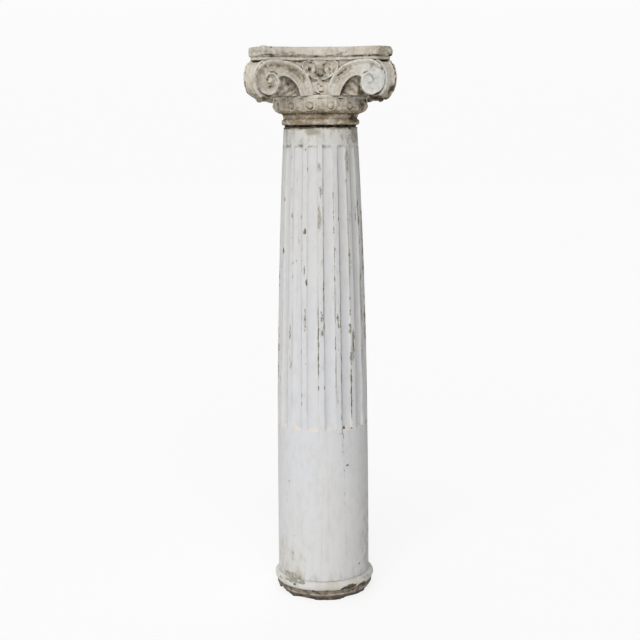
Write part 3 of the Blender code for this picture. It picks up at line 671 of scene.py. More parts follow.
# Stains in the paint: degrees from the front, height, half width, half height and strength
shaftStains = [
    (-13, 1.502, 0.025, 0.016, 1.0), (-38, 1.508, 0.045, 0.007, 0.75), (22, 1.509, 0.050, 0.007, 0.68),
    (34, 1.487, 0.009, 0.024, 0.58), (52, 1.485, 0.030, 0.026, 0.50), (5, 1.480, 0.050, 0.018, 0.28),
    (42.5, 1.41, 0.0085, 0.048, 0.84), (-2.4, 1.390, 0.007, 0.013, 0.82), (-0.5, 1.317, 0.008, 0.016, 0.74),
    (-2.4, 1.23, 0.0075, 0.050, 0.74), (0, 1.09, 0.006, 0.040, 0.46), (20, 1.25, 0.006, 0.060, 0.36),
    (43, 1.24, 0.007, 0.050, 0.48), (43, 0.81, 0.010, 0.050, 0.52), (42, 1.10, 0.007, 0.035, 0.56),
    (19, 0.665, 0.007, 0.020, 0.42), (67, 1.24, 0.012, 0.040, 0.46), (64, 1.00, 0.006, 0.120, 0.36),
    (-3, 0.905, 0.008, 0.030, 0.42), (-46, 0.875, 0.010, 0.018, 0.36), (-24, 0.915, 0.007, 0.026, 0.40),
    (-50, 0.072, 0.034, 0.012, 0.66), (-34, 0.067, 0.022, 0.008, 0.72), (-42, 0.148, 0.005, 0.014, 0.62),
    (-42, 0.118, 0.003, 0.020, 0.50), (-64, 0.115, 0.006, 0.030, 0.44), (-52, 0.165, 0.010, 0.012, 0.34),
    (-20, 0.175, 0.010, 0.014, 0.38), (9, 0.067, 0.020, 0.003, 0.66), (70, 0.15, 0.016, 0.070, 0.46),
    (10, 0.532, 0.040, 0.0025, 0.36), (130, 0.10, 0.040, 0.030, 0.50), (-140, 1.49, 0.050, 0.016, 0.60),
    (170, 0.30, 0.030, 0.060, 0.34), (100, 1.44, 0.020, 0.050, 0.45), (-110, 0.085, 0.050, 0.014, 0.60),
]
# Open seams between the staves: degrees from the front, lowest and highest height, strength
staveSeams = [
    (27.2, 0.425, 0.549, 0.85), (28.0, 0.20, 0.43, 0.60), (28.3, 0.062, 0.21, 0.40), (-24.3, 0.062, 0.235, 0.42),
    (72, 0.062, 0.50, 0.40), (117, 0.062, 0.553, 0.55), (160, 0.10, 0.553, 0.45), (-152, 0.062, 0.42, 0.50),
    (-108, 0.062, 0.553, 0.40),
]


fluteStop = shaftLow.z + shaftShape["stopHeight"]
fluteHead = shaftHigh.z - shaftShape["headDrop"]
shaftFoot = nodeRadius("shaft", shaftLow.z)
shaftNeck = nodeRadius("shaft", shaftHigh.z - shaftShape["edgeRound"])


def shaftRadius(height):
    rise = np.clip((height - shaftLow.z) / (shaftHigh.z - shaftLow.z), 0.0, 1.0)
    return shaftFoot - (shaftFoot - shaftNeck) * rise ** shaftShape["entasis"]


# Rows of points up the shaft: where a stretch starts, and how many rows there are to the next
shaftRows = [(shaftLow.z, 2), (shaftLow.z + 0.004, 66), (fluteStop - 0.004, 12), (fluteStop + 0.014, 134),
             (fluteHead - 0.018, 13), (fluteHead + 0.003, 12), (shaftHigh.z - 0.0035, 3), (shaftHigh.z, 0)]


def shaftHeights():
    heights = []
    for (low, steps), (high, _) in zip(shaftRows, shaftRows[1:]):
        heights += [low + (high - low) * step / steps for step in range(steps)]
    return np.array(heights + [shaftHigh.z])


def fluteShape(degrees, height):
    # depth of the flute at each point, and the place across it, 1 at its edges
    shape = shaftShape
    pitch = 360.0 / shape["flutes"]
    offset = (degrees - shape["fluteTurn"]) % pitch - pitch / 2
    place = np.abs(offset) / (shape["fluteShare"] * pitch / 2)
    hollow = np.sqrt(np.clip(1.0 - place ** 2, 0.0, 1.0))
    ledge = shape["rimShare"] + (1.0 - shape["rimShare"]) * hollow ** 2
    above = (height - shaftLow.z - shape["stopHeight"]) / (shape["stopSlope"] * ledge)
    top = fluteHead - shape["headArch"] * np.clip(place, 0, 1) ** 2
    below = (top - height) / (shape["headSlope"] * ledge)
    share = np.clip(np.minimum(above, below), 0.0, 1.0)
    return shape["fluteDepth"] * shaftRadius(height) / shaftFoot * hollow * share, place


# Wear placed by chance: bare stretches on the fillets at the back, small nicks in front, losses at the back
backStretches = {
    "fillets": range(4, 13),
    "each": 6,
    "sides": (-1, -1, 0, 1, 1),
    "heights": (0.62, 1.38),
    "lengths": (0.02, 0.16),
    "halfWidths": (0.0016, 0.0050),
    "strengths": (0.45, 0.85),
}
frontNicks = {
    "fillets": (-3, -2, -2, -1, -1, 0, 0, 1, 1, 2),
    "count": 70,
    "sides": (-1, -0.7, 0, 0.6, 1),
    "heights": (0.60, 1.44),
    "lengths": (0.002, 0.014),
    "halfWidths": (0.0010, 0.0020),
    "strengths": (0.40, 0.72),
}
backLosses = {
    "count": 34,
    "bounds": ((80, 280), (0.08, 1.49), (0.002, 0.007), (0.004, 0.016), (0.4, 0.85)),
}


def chanceStretch(dice, wear, fillet=None):
    low = dice.uniform(*wear["heights"])
    if fillet is None:
        fillet = dice.choice(wear["fillets"])
    return (fillet, dice.choice(wear["sides"]), low, low + dice.uniform(*wear["lengths"]),
            dice.uniform(*wear["halfWidths"]), dice.uniform(*wear["strengths"]))


def shaftWear(degrees, height):
    # loss of paint and wood on the fillets and in single places
    shape = shaftShape
    pitch = 360.0 / shape["flutes"]
    radius = shaftRadius(height)
    filletHalf = math.radians(pitch * (1.0 - shape["fluteShare"]) / 2) * radius
    dice = random.Random(7)
    worn = wornFillets + [chanceStretch(dice, backStretches, fillet) for fillet in backStretches["fillets"]
                          for _ in range(backStretches["each"])]
    worn += [chanceStretch(dice, frontNicks) for _ in range(frontNicks["count"])]
    losses = shaftLosses + [tuple(dice.uniform(*bounds) for bounds in backLosses["bounds"])
                            for _ in range(backLosses["count"])]
    chip = softSpots(degrees, height, radius, losses, 0.9, 2)
    for fillet, side, low, high, half, strength in worn:
        away = angleAway(degrees, shape["fluteTurn"] + pitch * fillet)
        across = np.abs(np.radians(away) * radius - side * filletHalf) / half
        along = np.maximum(np.maximum(low - height, height - high), 0.0) / (0.0025 + 0.25 * (high - low))
        chip = np.maximum(chip, strength * np.exp(-0.8 * across ** 2 - along ** 2))
    return chip


shaftSurface = {
    "chipBreak": 0.45,  # how far noise breaks up the outline of a chip
    "paintLoss": 0.0011,
    "woodLoss": 0.0012,
    "broadWaves": 0.0005,
    "fineWaves": 0.00025,
    "rimLoss": 0.0006,
    "rimWidth": 0.10,
    "seamLoss": 0.0010,
    "seamHalf": 0.95,  # degrees, as is the seams' sway
    "seamSway": 0.5,
}


def seamCracks(degrees, height, spots):
    # the open seams between the staves, each swaying and broken a little
    surface = shaftSurface
    crack = np.zeros(len(degrees))
    for centre, low, high, strength in staveSeams:
        away = np.abs(angleAway(degrees, centre + surface["seamSway"] * np.sin(height * 9.0)))
        line = strength * np.clip(1.0 - away / surface["seamHalf"], 0, 1) * (height > low) * (height < high)
        broken = smoothStep(roughNoise(spots * [0, 0, 1], (1, 1, 14), centre), -0.7, 0.1)
        crack = np.maximum(crack, line * broken)
    return crack


def shaftLoss(spots, chip, crack, place, depth):
    # how far the surface has gone back: in chips, in slow waves, along the rims of the flutes and in the seams
    surface = shaftSurface
    broken = chip + surface["chipBreak"] * roughNoise(spots, 60, 3.0)
    loss = surface["paintLoss"] * smoothStep(broken, 0.35, 0.62) + surface["woodLoss"] * smoothStep(broken, 0.75, 1.1)
    loss += surface["broadWaves"] * roughNoise(spots, (9, 9, 2.5), 11.0)
    loss += surface["fineWaves"] * roughNoise(spots, (40, 40, 12), 5.0)
    rims = hump(place, 1.0, surface["rimWidth"]) * (depth > 0)
    loss += surface["rimLoss"] * rims * smoothStep(roughNoise(spots, (30, 30, 9), 1.0), -0.2, 0.6)
    return loss + surface["seamLoss"] * crack


def shaftGrimeAndShade(degrees, height, place, oldStave, yellowed):
    # dirt in the heads of the flutes and at both ends, at the top end with painted shadow under the capital; darker
    # low on the right side, dirt with painted shade; dirt at the foot of the old stave
    overHead = smoothStep(height, fluteHead - 0.004, fluteHead + 0.010)
    inHead = smoothStep(height, fluteHead - 0.014, fluteHead - 0.004)
    inHead *= fallStep(height, fluteHead - 0.002, fluteHead + 0.004)
    grimeAndShade = 1.1 * inHead * (place < 1.0) + 0.3 * fallStep(height, shaftLow.z, shaftLow.z + 0.04)
    # the top edge under the capital: dirt with painted shadow under the astragal
    grimeAndShade += 1.4 * smoothStep(height, shaftHigh.z - 0.006, shaftHigh.z - 0.001)
    grimeAndShade += 0.40 * smoothStep(height, fluteHead - 0.006, fluteHead + 0.016)
    # darker low on the right side: dirt with painted shade
    grimeAndShade += 0.60 * hump(angleAway(degrees, 74), 0, 16) * fallStep(height, 0.20, 0.42)
    grimeAndShade += 0.50 * hump(angleAway(degrees, 58), 0, 22) * overHead
    return grimeAndShade + 0.24 * yellowed + 0.4 * oldStave * fallStep(height, 0.065, 0.085)


def shaftWarmth(degrees, height, spots, yellowed):
    # yellowed paint: the old stave's foot, the head, the right side's foot and a little all over the upper half
    aged = smoothStep(height, fluteHead - 0.030, fluteHead + 0.020) + 0.5 * roughNoise(spots, 26, 51.0)
    rightFoot = smoothStep(degrees, 56, 68) * (degrees < 90) * fallStep(height, 0.18, 0.30)
    parts = (yellowed, 0.85 * smoothStep(aged, 0.25, 0.9), 0.7 * rightFoot, 0.40 * smoothStep(height, 0.85, 1.30))
    return np.max(parts, axis=0)


def shaftStained(degrees, height, place, spots):
    # the single stains, a dark line under each flute's head and a broad one at the head's right
    stain = softSpots(degrees, height, shaftRadius(height), shaftStains, 0.7, 3)
    headLine = hump(height - fluteHead + 0.005 + 0.004 * place ** 2, 0.0, 0.0045) * (place < 0.92)
    headSide = hump(angleAway(degrees, 62), 0, 20) * smoothStep(height, fluteHead - 0.004, fluteHead + 0.010)
    headSide *= 0.80 + 0.40 * roughNoise(spots, 60, 63.0)
    return np.maximum(np.maximum(stain, 0.52 * headLine), headSide)


def shaftMarks(degrees, height, place, spots, chip):
    # what the paint reads at each point, by name
    ledgeFace = smoothStep(height, fluteStop - 0.001, fluteStop + 0.002)
    ledgeFace *= fallStep(height, fluteStop + 0.006, fluteStop + 0.013)
    chip = np.maximum(chip, 0.62 * ledgeFace * hump(place, 0.93, 0.10) * (degrees > 10))
    # the top edge painted dark: painted shadow under the capital's astragal, with dirt
    jointShadowEdge = smoothStep(height + 0.0030 * roughNoise(spots, (38, 38, 1), 61.0), shaftHigh.z - 0.0048,
                           shaftHigh.z - 0.0018)
    rims = 0.85 * np.clip(1.0 - np.abs(place - 1.0) / 0.13, 0, 1)
    rims *= smoothStep(height, fluteStop + 0.02, fluteStop + 0.10) * fallStep(height, fluteHead - 0.01, fluteHead)
    oldStave = (degrees < -24.5) & (degrees > -75)
    yellowed = 0.75 * oldStave * fallStep(height, 0.145, 0.215)
    return {
        "chip": np.maximum(chip, 1.05 * jointShadowEdge),
        "peach": 0.70 * ledgeFace * (place < 0.97),
        "grimeAndShade": shaftGrimeAndShade(degrees, height, place, oldStave, yellowed),
        "warm": shaftWarmth(degrees, height, spots, yellowed),
        "edge": rims * np.where(degrees > 10, 1.0, 0.45),
        "stain": shaftStained(degrees, height, place, spots),
    }


def makeShaft():
    shape = shaftShape
    columns = shape["flutes"] * shape["columnsEach"]
    heights = shaftHeights()
    rows = len(heights) + 2  # the first and last rows close the ends on the axis
    bm, row, column = wrappedSkin(rows, columns)
    height = heights[np.clip(row - 1, 0, len(heights) - 1)]
    degrees = (shape["fluteTurn"] + 360.0 * column / columns + 180.0) % 360.0 - 180.0
    depth, place = fluteShape(degrees, height)
    radius = shaftRadius(height) - depth
    radius -= np.where(row == rows - 2, shape["edgeRound"] / 2, 0.0)
    spots = roundPlaces(radius, degrees, height)
    chip = shaftWear(degrees, height)
    crack = seamCracks(degrees, height, spots)
    loss = shaftLoss(spots, chip, crack, place, depth) * ((row > 1) & (row < rows - 2))
    radius = (radius - loss) * ((row > 0) & (row < rows - 1))
    placePoints(bm, roundPlaces(radius, degrees, height))
    layValues(bm, {"crack": crack, **shaftMarks(degrees, height, place, spots, chip)})
    piece = closedPiece(bm, "flutedShaft")
    finishPiece(piece, "shaft", shaftPaint)
    print("shaft made,", len(piece.data.polygons), "faces")


makeShaft()


# Foot ring

ringShape = {
    "columns": 320,
    "footOverhang": 0.0015,
    "filletOverhang": 0.0085,
    "filletHeight": 0.0190,
    "footHeight": 0.0310,
    "rollSection": 0.0125,
    "rollRise": 0.0145,
    "seatMargin": 0.0022,
    "footSpread": 0.0055,  # the foot stands further out in front
    "raggedDepth": 0.0042,
    "raggedHeight": 0.0160,
    "ease": 0.0030,
    "fineWaves": 0.0007,
    "broadWaves": 0.0010,
    "leftLoss": 0.0034,
    "footLift": 0.0030,
}
# Chips out of the ring: degrees from the front, height, half width, half height and depth
ringChips = [
    (32, 0.039, 0.026, 0.0085, 0.0050), (22, 0.036, 0.008, 0.0035, 0.0026), (-12.7, 0.031, 0.006, 0.0035, 0.0030),
    (3.3, 0.0325, 0.007, 0.0030, 0.0030), (52, 0.036, 0.018, 0.0060, 0.0030), (-36, 0.047, 0.006, 0.0030, 0.0016),
    (-20, 0.004, 0.030, 0.0100, 0.0060), (-62, 0.006, 0.040, 0.0130, 0.0070), (38, 0.003, 0.050, 0.0070, 0.0050),
    (75, 0.005, 0.030, 0.0110, 0.0070), (110, 0.040, 0.018, 0.0090, 0.0040), (150, 0.008, 0.050, 0.0130, 0.0080),
    (-130, 0.045, 0.025, 0.0080, 0.0035), (-165, 0.036, 0.012, 0.0060, 0.0030),
    (-105, 0.006, 0.035, 0.0120, 0.0080),
]
# Peeling paint on the roll: degrees from the front, height, half width, half height and strength
ringPeels = [
    (-40, 0.055, 0.032, 0.0060, 0.75), (-27, 0.0555, 0.016, 0.0050, 0.75), (-33, 0.046, 0.010, 0.0050, 0.55),
    (-62, 0.050, 0.016, 0.0070, 0.50), (60, 0.054, 0.030, 0.0060, 0.48), (140, 0.052, 0.040, 0.0070, 0.60),
    (-120, 0.054, 0.030, 0.0060, 0.60), (175, 0.044, 0.020, 0.0060, 0.50),
]


def ringProfile():
    # radius and height of each row from the foot up, the roll as an arc
    shape = ringShape
    foot = shaftFoot + shape["footOverhang"]
    fillet = shaftFoot + shape["filletOverhang"]
    filletTop = shape["footHeight"] - shape["ease"]
    profile = []
    for step in range(11):
        share = step / 10
        profile.append((foot + share * (fillet - foot), ringLow.z + share * shape["filletHeight"]))
    for step in range(1, 8):
        profile.append((fillet, shape["filletHeight"] + step * (filletTop - shape["filletHeight"]) / 7))
    profile += [(fillet - 0.0008, shape["footHeight"] - 0.0016), (fillet - 0.0034, shape["footHeight"] + 0.0004)]
    for step in range(19):
        bend = math.radians(-64 + 154 * step / 18)
        profile.append((shaftFoot + shape["seatMargin"] + shape["rollSection"] * math.cos(bend),
                        shape["footHeight"] + shape["rollRise"] * (1.0 + math.sin(bend))))
    return np.array([(0.0, ringLow.z)] + profile + [(0.0, ringHigh.z)])


def ringLoss(degrees, radius, height, spots, low):
    # how far the surface has gone back: rotted low down, in waves, more on the left, less at the foot in front,
    # and chipped off in places; also how bare the wood is
    shape = ringShape
    flats = roughNoise(spots * [1, 1, 0], (13, 13, 1), 4.0, 2) + 0.5 * roughNoise(spots, (45, 45, 60), 9.0)
    ragged = smoothStep(flats, -0.45, 0.75)
    loss = shape["raggedDepth"] * low * ragged + shape["fineWaves"] * roughNoise(spots, 50, 2.0)
    loss += shape["broadWaves"] * roughNoise(spots, (14, 14, 20), 6.0)
    loss += shape["leftLoss"] * hump(angleAway(degrees, -88), 0, 32)
    spread = fallStep(height, ringLow.z, shape["filletHeight"])
    loss -= shape["footSpread"] * spread * hump(angleAway(degrees, 8), 0, 40)
    bare = 0.75 * low * smoothStep(ragged, 0.15, 0.7)
    for chip in ringChips:
        reach = spotReach(degrees, height, radius, chip) + 0.30 * roughNoise(spots, 120, chip[0])
        hit = 1.0 - smoothStep(reach, 0.75, 1.15)
        loss = loss + chip[4] * hit
        bare = np.maximum(bare, hit)
    return loss, bare


def makeFootRing():
    shape = ringShape
    profile = ringProfile()
    rows = len(profile)
    bm, row, column = wrappedSkin(rows, shape["columns"])
    radius, height = profile[row, 0], profile[row, 1].copy()
    degrees = angleAway(360.0 * column / shape["columns"], 0.0)
    spots = roundPlaces(radius, degrees, height)
    low = fallStep(height, ringLow.z, shape["raggedHeight"] + 0.004)
    loss, bare = ringLoss(degrees, radius, height, spots, low)
    side = (row > 0) & (row < rows - 1)
    lift = shape["footLift"] * (1.0 - smoothStep(height, ringLow.z, ringLow.z + shape["raggedHeight"]))
    height += lift * smoothStep(roughNoise(spots * [1, 1, 0], (16, 16, 1), 21.0, 2), 0.0, 0.5) * side
    radius = (radius - loss * side) * side
    placePoints(bm, roundPlaces(radius, degrees, height))
    # painted shade in the groove under the roll, darker at the seat; below, a painted highlight along the fillet's
    # lower edge and painted shade on the underside
    groove = hump(height, shape["footHeight"] - 0.0005, 0.0018)
    seat = smoothStep(height, ringHigh.z - 0.0035, ringHigh.z) * 0.25
    layValues(bm, {
        "chip": bare,
        "foot": fallStep(height, 0.0305, 0.0335),
        "peel": softSpots(degrees, height, radius, ringPeels, 0.7, 3),
        "ledge": hump(height, shape["filletHeight"], 0.0024),
        "underShade": fallStep(height, 0.0090, 0.0150),
        "hollow": np.maximum(np.maximum(0.70 * groove, seat), 0.85 * low),
    })
    piece = closedPiece(bm, "footRing")
    finishPiece(piece, "foot_ring", ringPaint)
    print("foot ring made,", len(piece.data.polygons), "faces")


makeFootRing()


# Capital: astragal, neck, egg ring and bell

neckShape = {
    "columns": 448,
    "rows": 118,
    "top": 0.204,  # above the capital's foot, inside the abacus
    "recess": 0.0040,
    "openJoint": 0.0068,
    "astragal": 0.0240,
    "astragalOverhang": 0.0067,
    "neckOverhang": 0.0022,
    "neckTop": 0.0420,
    "echinusTop": 0.0970,
    "echinusOverhang": 0.0300,
    "bellOverhang": 0.0115,
    "bellFlare": 0.0140,
    "eggs": 14,
    "eggHeight": 0.0215,
    "eggRadius": 0.0078,
    "eggRise": 0.0056,
    "frameRadius": 0.0150,
    "drillHeight": 0.0425,
    "drillDepth": 0.0036,
    "drillPlaces": ((0.0, 0.0), (0.0050, 0.0012), (0.0, -0.0055)),
    "grooveDepth": 0.0034,
    "frameRise": 0.0034,
    "dartRise": 0.0020,
    "denseShare": 0.80,  # of the rows, for the part below the bell
    "broadWaves": 0.0009,
    "fineWaves": 0.0004,
    "bites": 0.0016,
    "ribRise": 0.0018,
    "lipLoss": 0.0040,
}
# The egg ring's swell: share of the overhang and of the height
echinusSwell = [(0.42, 0.02), (0.72, 0.11), (0.93, 0.24), (1.0, 0.42), (1.02, 0.58), (1.0, 0.70), (0.95, 0.78),
                (0.99, 0.84), (0.97, 0.94), (0.88, 1.0)]


def neckProfile(height):
    # radius at heights above the capital's foot
    shape = neckShape
    neck = shaftNeck + shape["neckOverhang"]
    bell = shaftNeck + shape["bellOverhang"]
    low, high = shape["neckTop"], shape["echinusTop"]
    joint, slot, astragal = shape["openJoint"], shaftNeck - shape["recess"], shape["astragal"]
    points = [(0.0, slot), (joint - 0.0012, slot), (joint - 0.0004, neck - 0.001)]
    for share in (-0.95, -0.75, -0.4, 0.0, 0.4, 0.75, 0.97):
        reach = (shape["astragalOverhang"] - shape["neckOverhang"]) * math.sqrt(1.0 - share * share)
        points.append((joint + (astragal - joint) / 2 * (1.0 + share), neck + reach))
    points += [(astragal + 0.0012, neck - 0.0022), (astragal + 0.008, neck - 0.0012)]
    points += [(low - 0.004, neck + 0.0008), (low - 0.0005, neck + 0.004)]
    swell = shaftNeck + shape["echinusOverhang"] - neck
    points += [(low + rise * (high - low), neck + share * swell) for share, rise in echinusSwell]
    points += [(high + 0.0015, bell + 0.004), (high + 0.006, bell), (high + 0.060, bell + 0.3 * shape["bellFlare"])]
    points.append((shape["top"], bell + shape["bellFlare"]))
    heights, radii = np.array(points).T
    return np.interp(height, heights, radii)


def eggRelief(degrees, height, radius):
    # round bosses in round frames, with darts between and drilled holes over the darts
    shape = neckShape
    pitch = 360.0 / shape["eggs"]
    across = np.radians((degrees / pitch) % 1.0 * pitch - pitch / 2) * radius
    up = height - shape["neckTop"] - shape["eggHeight"]
    reach = np.hypot(across, up)
    boss = np.sqrt(np.clip(1.0 - (reach / shape["eggRadius"]) ** 2, 0.0, 1.0))
    groove = hump(reach, shape["eggRadius"] * 1.28, 0.0022)
    arms = np.hypot(across, np.minimum(up, 0.0))
    rim = shape["frameRise"] * hump(arms, shape["frameRadius"], 0.0028)
    toDart = np.abs(across) - np.radians(pitch / 2) * radius
    dart = shape["dartRise"] * hump(toDart, 0.0, 0.0022) * fallStep(height, 0.070, 0.090)
    holes = np.zeros(len(degrees))
    for side, rise in shape["drillPlaces"]:
        spot = np.hypot(np.abs(toDart) - side, height - shape["neckTop"] - shape["drillHeight"] - rise)
        holes = np.maximum(holes, 1.0 - smoothStep(spot, 0.0012, 0.0030))
    inRing = smoothStep(height, shape["neckTop"] + 0.002, shape["neckTop"] + 0.010)
    inRing *= fallStep(height, shape["echinusTop"] - 0.008, shape["echinusTop"] - 0.001)
    relief = boss * shape["eggRise"] - shape["grooveDepth"] * groove + rim + dart
    # darker in the groove round each boss, more below it, as painted shade, and in the drilled holes
    dirtAndShade = np.maximum(holes, groove * 0.70 * (0.35 + 0.65 * fallStep(up, -0.006, 0.005))) * inRing
    return relief * inRing - shape["drillDepth"] * holes, dirtAndShade, boss * inRing


def neckDirtAndShade(height, spots, holes, boss, worn, slant):
    # near-black painted shadow in the open joint, painted shadow under the egg ring, darker over the astragal, in the
    # drilled holes and between the ribs; a painted highlight on the bosses, and lighter on the eggs
    shape = neckShape
    joint, low = shape["openJoint"], shape["neckTop"]
    dirtAndShade = np.maximum(holes, 1.8 * (1.0 - smoothStep(height, joint - 0.001, joint + 0.001)))
    underRing = 0.95 * hump(height, low - 0.002, 0.006)
    corners = np.maximum(underRing, 0.60 * hump(height, shape["astragal"] + 0.0015, 0.0035))
    dirtAndShade = np.maximum(dirtAndShade, corners * (0.8 + 0.4 * worn)) * (0.75 + 0.4 * roughNoise(spots, 60, 43.0))
    dirtAndShade = np.maximum(dirtAndShade, (0.22 - 0.18 * slant) * smoothStep(height, 0.099, 0.108)) - 0.45 * boss
    eggs = smoothStep(height, low + 0.004, low + 0.012) * fallStep(height, 0.092, 0.099)
    return dirtAndShade - 0.20 * eggs * (1.0 - smoothStep(dirtAndShade, 0.04, 0.20))


def makeNeck():
    shape = neckShape
    rows = shape["rows"] + 3
    dense, ringTop = shape["denseShare"], shape["echinusTop"] * 1.05
    spread = np.linspace(0.0, 1.0, shape["rows"] + 1)
    heights = np.where(spread < dense, spread / dense * ringTop,
                       ringTop + (spread - dense) / (1.0 - dense) * (shape["top"] - ringTop))
    bm, row, column = wrappedSkin(rows, shape["columns"])
    height = heights[np.clip(row - 1, 0, shape["rows"])]
    radius = neckProfile(height)
    degrees = angleAway(360.0 * column / shape["columns"], 0.0)
    relief, holes, boss = eggRelief(degrees, height, radius)
    spots = roundPlaces(radius, degrees, height + capitalLow.z)
    worn = smoothStep(roughNoise(spots, 22, 8.0), -0.3, 0.6)
    loss = shape["broadWaves"] * roughNoise(spots, 40, 3.0) + shape["fineWaves"] * roughNoise(spots, 110, 5.0)
    loss += shape["bites"] * smoothStep(roughNoise(spots, (28, 28, 45), 14.0), 0.25, 0.6) * (height < 0.10)
    slant = np.sin(np.radians(degrees) * 52 + height * 260 + 2.2 * roughNoise(spots, 20, 33.0))
    slant = slant * smoothStep(roughNoise(spots, 35, 37.0), -0.6, 0.3)
    ribs = shape["ribRise"] * slant * smoothStep(height, 0.100, 0.112)
    joint = shape["openJoint"]
    lip = (1.0 - smoothStep(height, joint, joint + 0.0035)) * (height > joint - 0.0006)
    loss += shape["lipLoss"] * smoothStep(roughNoise(spots, (70, 70, 30), 23.0), 0.1, 0.6) * lip
    side = (row > 0) & (row < rows - 1)
    radius = (radius + relief * (1.0 - 0.45 * worn) + ribs - loss) * side
    placePoints(bm, roundPlaces(radius, degrees, height + capitalLow.z))
    layValues(bm, {"laidDirtAndShade": neckDirtAndShade(height, spots, holes, boss, worn, slant)})
    piece = closedPiece(bm, "capitalNeck")
    print("neck and egg ring made,", len(piece.data.polygons), "faces")
    return piece


# Capital: abacus

abacusShape = {
    "columns": 640,
    "overhang": 0.1045,
    "cornerCut": 0.0485,
    "sideHollow": 0.0480,
    "cornerShare": 0.12,  # of each quarter's columns, for the cut corner
    "filletHeight": 0.0090,
    "filletInset": 0.0060,
    "rollHeight": 0.0315,
    "rollEase": 0.0062,
    "fullCorner": (0.221, -0.183, 1.732),  # the least worn corner
    "fullRise": 0.0042,
    "cornerEase": 0.0028,
    "fineWaves": 0.0008,
    "broadWaves": 0.0010,
    "dents": 0.0012,
    "rimLoss": 0.0022,
    "lump": (-0.168, -0.206),
    "lumpRise": 0.0030,
}
# Losses on the abacus's roll: place and reach in metres, then the depth
abacusChips = [
    ((0.222, -0.190, 1.752), 0.022, 0.0060), ((0.205, -0.221, 1.748), 0.010, 0.0045),
    ((0.219, -0.205, 1.733), 0.006, 0.0050), ((0.198, -0.226, 1.728), 0.005, 0.0040),
    ((0.185, -0.221, 1.738), 0.006, 0.0030), ((0.150, -0.203, 1.725), 0.007, 0.0020),
    ((-0.196, 0.218, 1.745), 0.020, 0.0070), ((0.05, 0.175, 1.750), 0.014, 0.0040),
    ((-0.175, 0.03, 1.751), 0.018, 0.0045), ((0.21, 0.21, 1.730), 0.012, 0.0050),
]


def abacusOutline(share, inset):
    # points of the outline, four hollow sides and the cut corners, by share of the way round
    shape = abacusShape
    half = shaftNeck + shape["overhang"] - inset
    end = half - shape["cornerCut"] + inset * (1.0 - math.tan(math.radians(22.5)))
    hollow = shape["sideHollow"]
    radius = (end * end + hollow * hollow) / (2 * hollow)
    quarter = np.floor(share * 4)
    local = share * 4 - quarter
    sideShare = 1.0 - shape["cornerShare"]
    across = (2 * np.clip(local / sideShare, 0.0, 1.0) - 1) * end
    sag = hollow - (radius - np.sqrt(radius ** 2 - across ** 2))
    cut = np.clip((local - sideShare) / shape["cornerShare"], 0.0, 1.0)
    x = across + cut * (half - end)
    y = -(half - sag) + cut * (half - end)
    turn = quarter * math.pi / 2
    return x * np.cos(turn) - y * np.sin(turn), x * np.sin(turn) + y * np.cos(turn)


def abacusProfile():
    # share of the outline, inset and height of each row, from the middle of the underside up
    shape = abacusShape
    seat = capitalHigh.z - shape["rollHeight"]
    low = seat - shape["filletHeight"]
    inset = shape["filletInset"]
    rows = [(share, inset, low) for share in (0.0, 0.45, 0.8)] + [(1.0, inset + 0.0004, low)]
    rows += [(1.0, inset, low + shape["filletHeight"] * step / 4 + 0.0004) for step in range(4)]
    rows += [(1.0, inset + 0.0012, seat - 0.0004), (1.0, inset + 0.0004, seat + 0.0006)]
    for step in range(21):
        bend = math.pi * (step / 20 - 0.5)
        inset = shape["rollEase"] * (1.0 - max(math.cos(bend), 0.0) ** 0.55)
        rows.append((1.0, inset, seat + 0.001 + (shape["rollHeight"] - 0.001) * (0.5 + 0.5 * math.sin(bend))))
    rows += [(share, shape["rollEase"], capitalHigh.z)
             for share in (0.985, 0.95, 0.88, 0.78, 0.66, 0.52, 0.38, 0.24, 0.10, 0.0)]
    return np.array(rows)


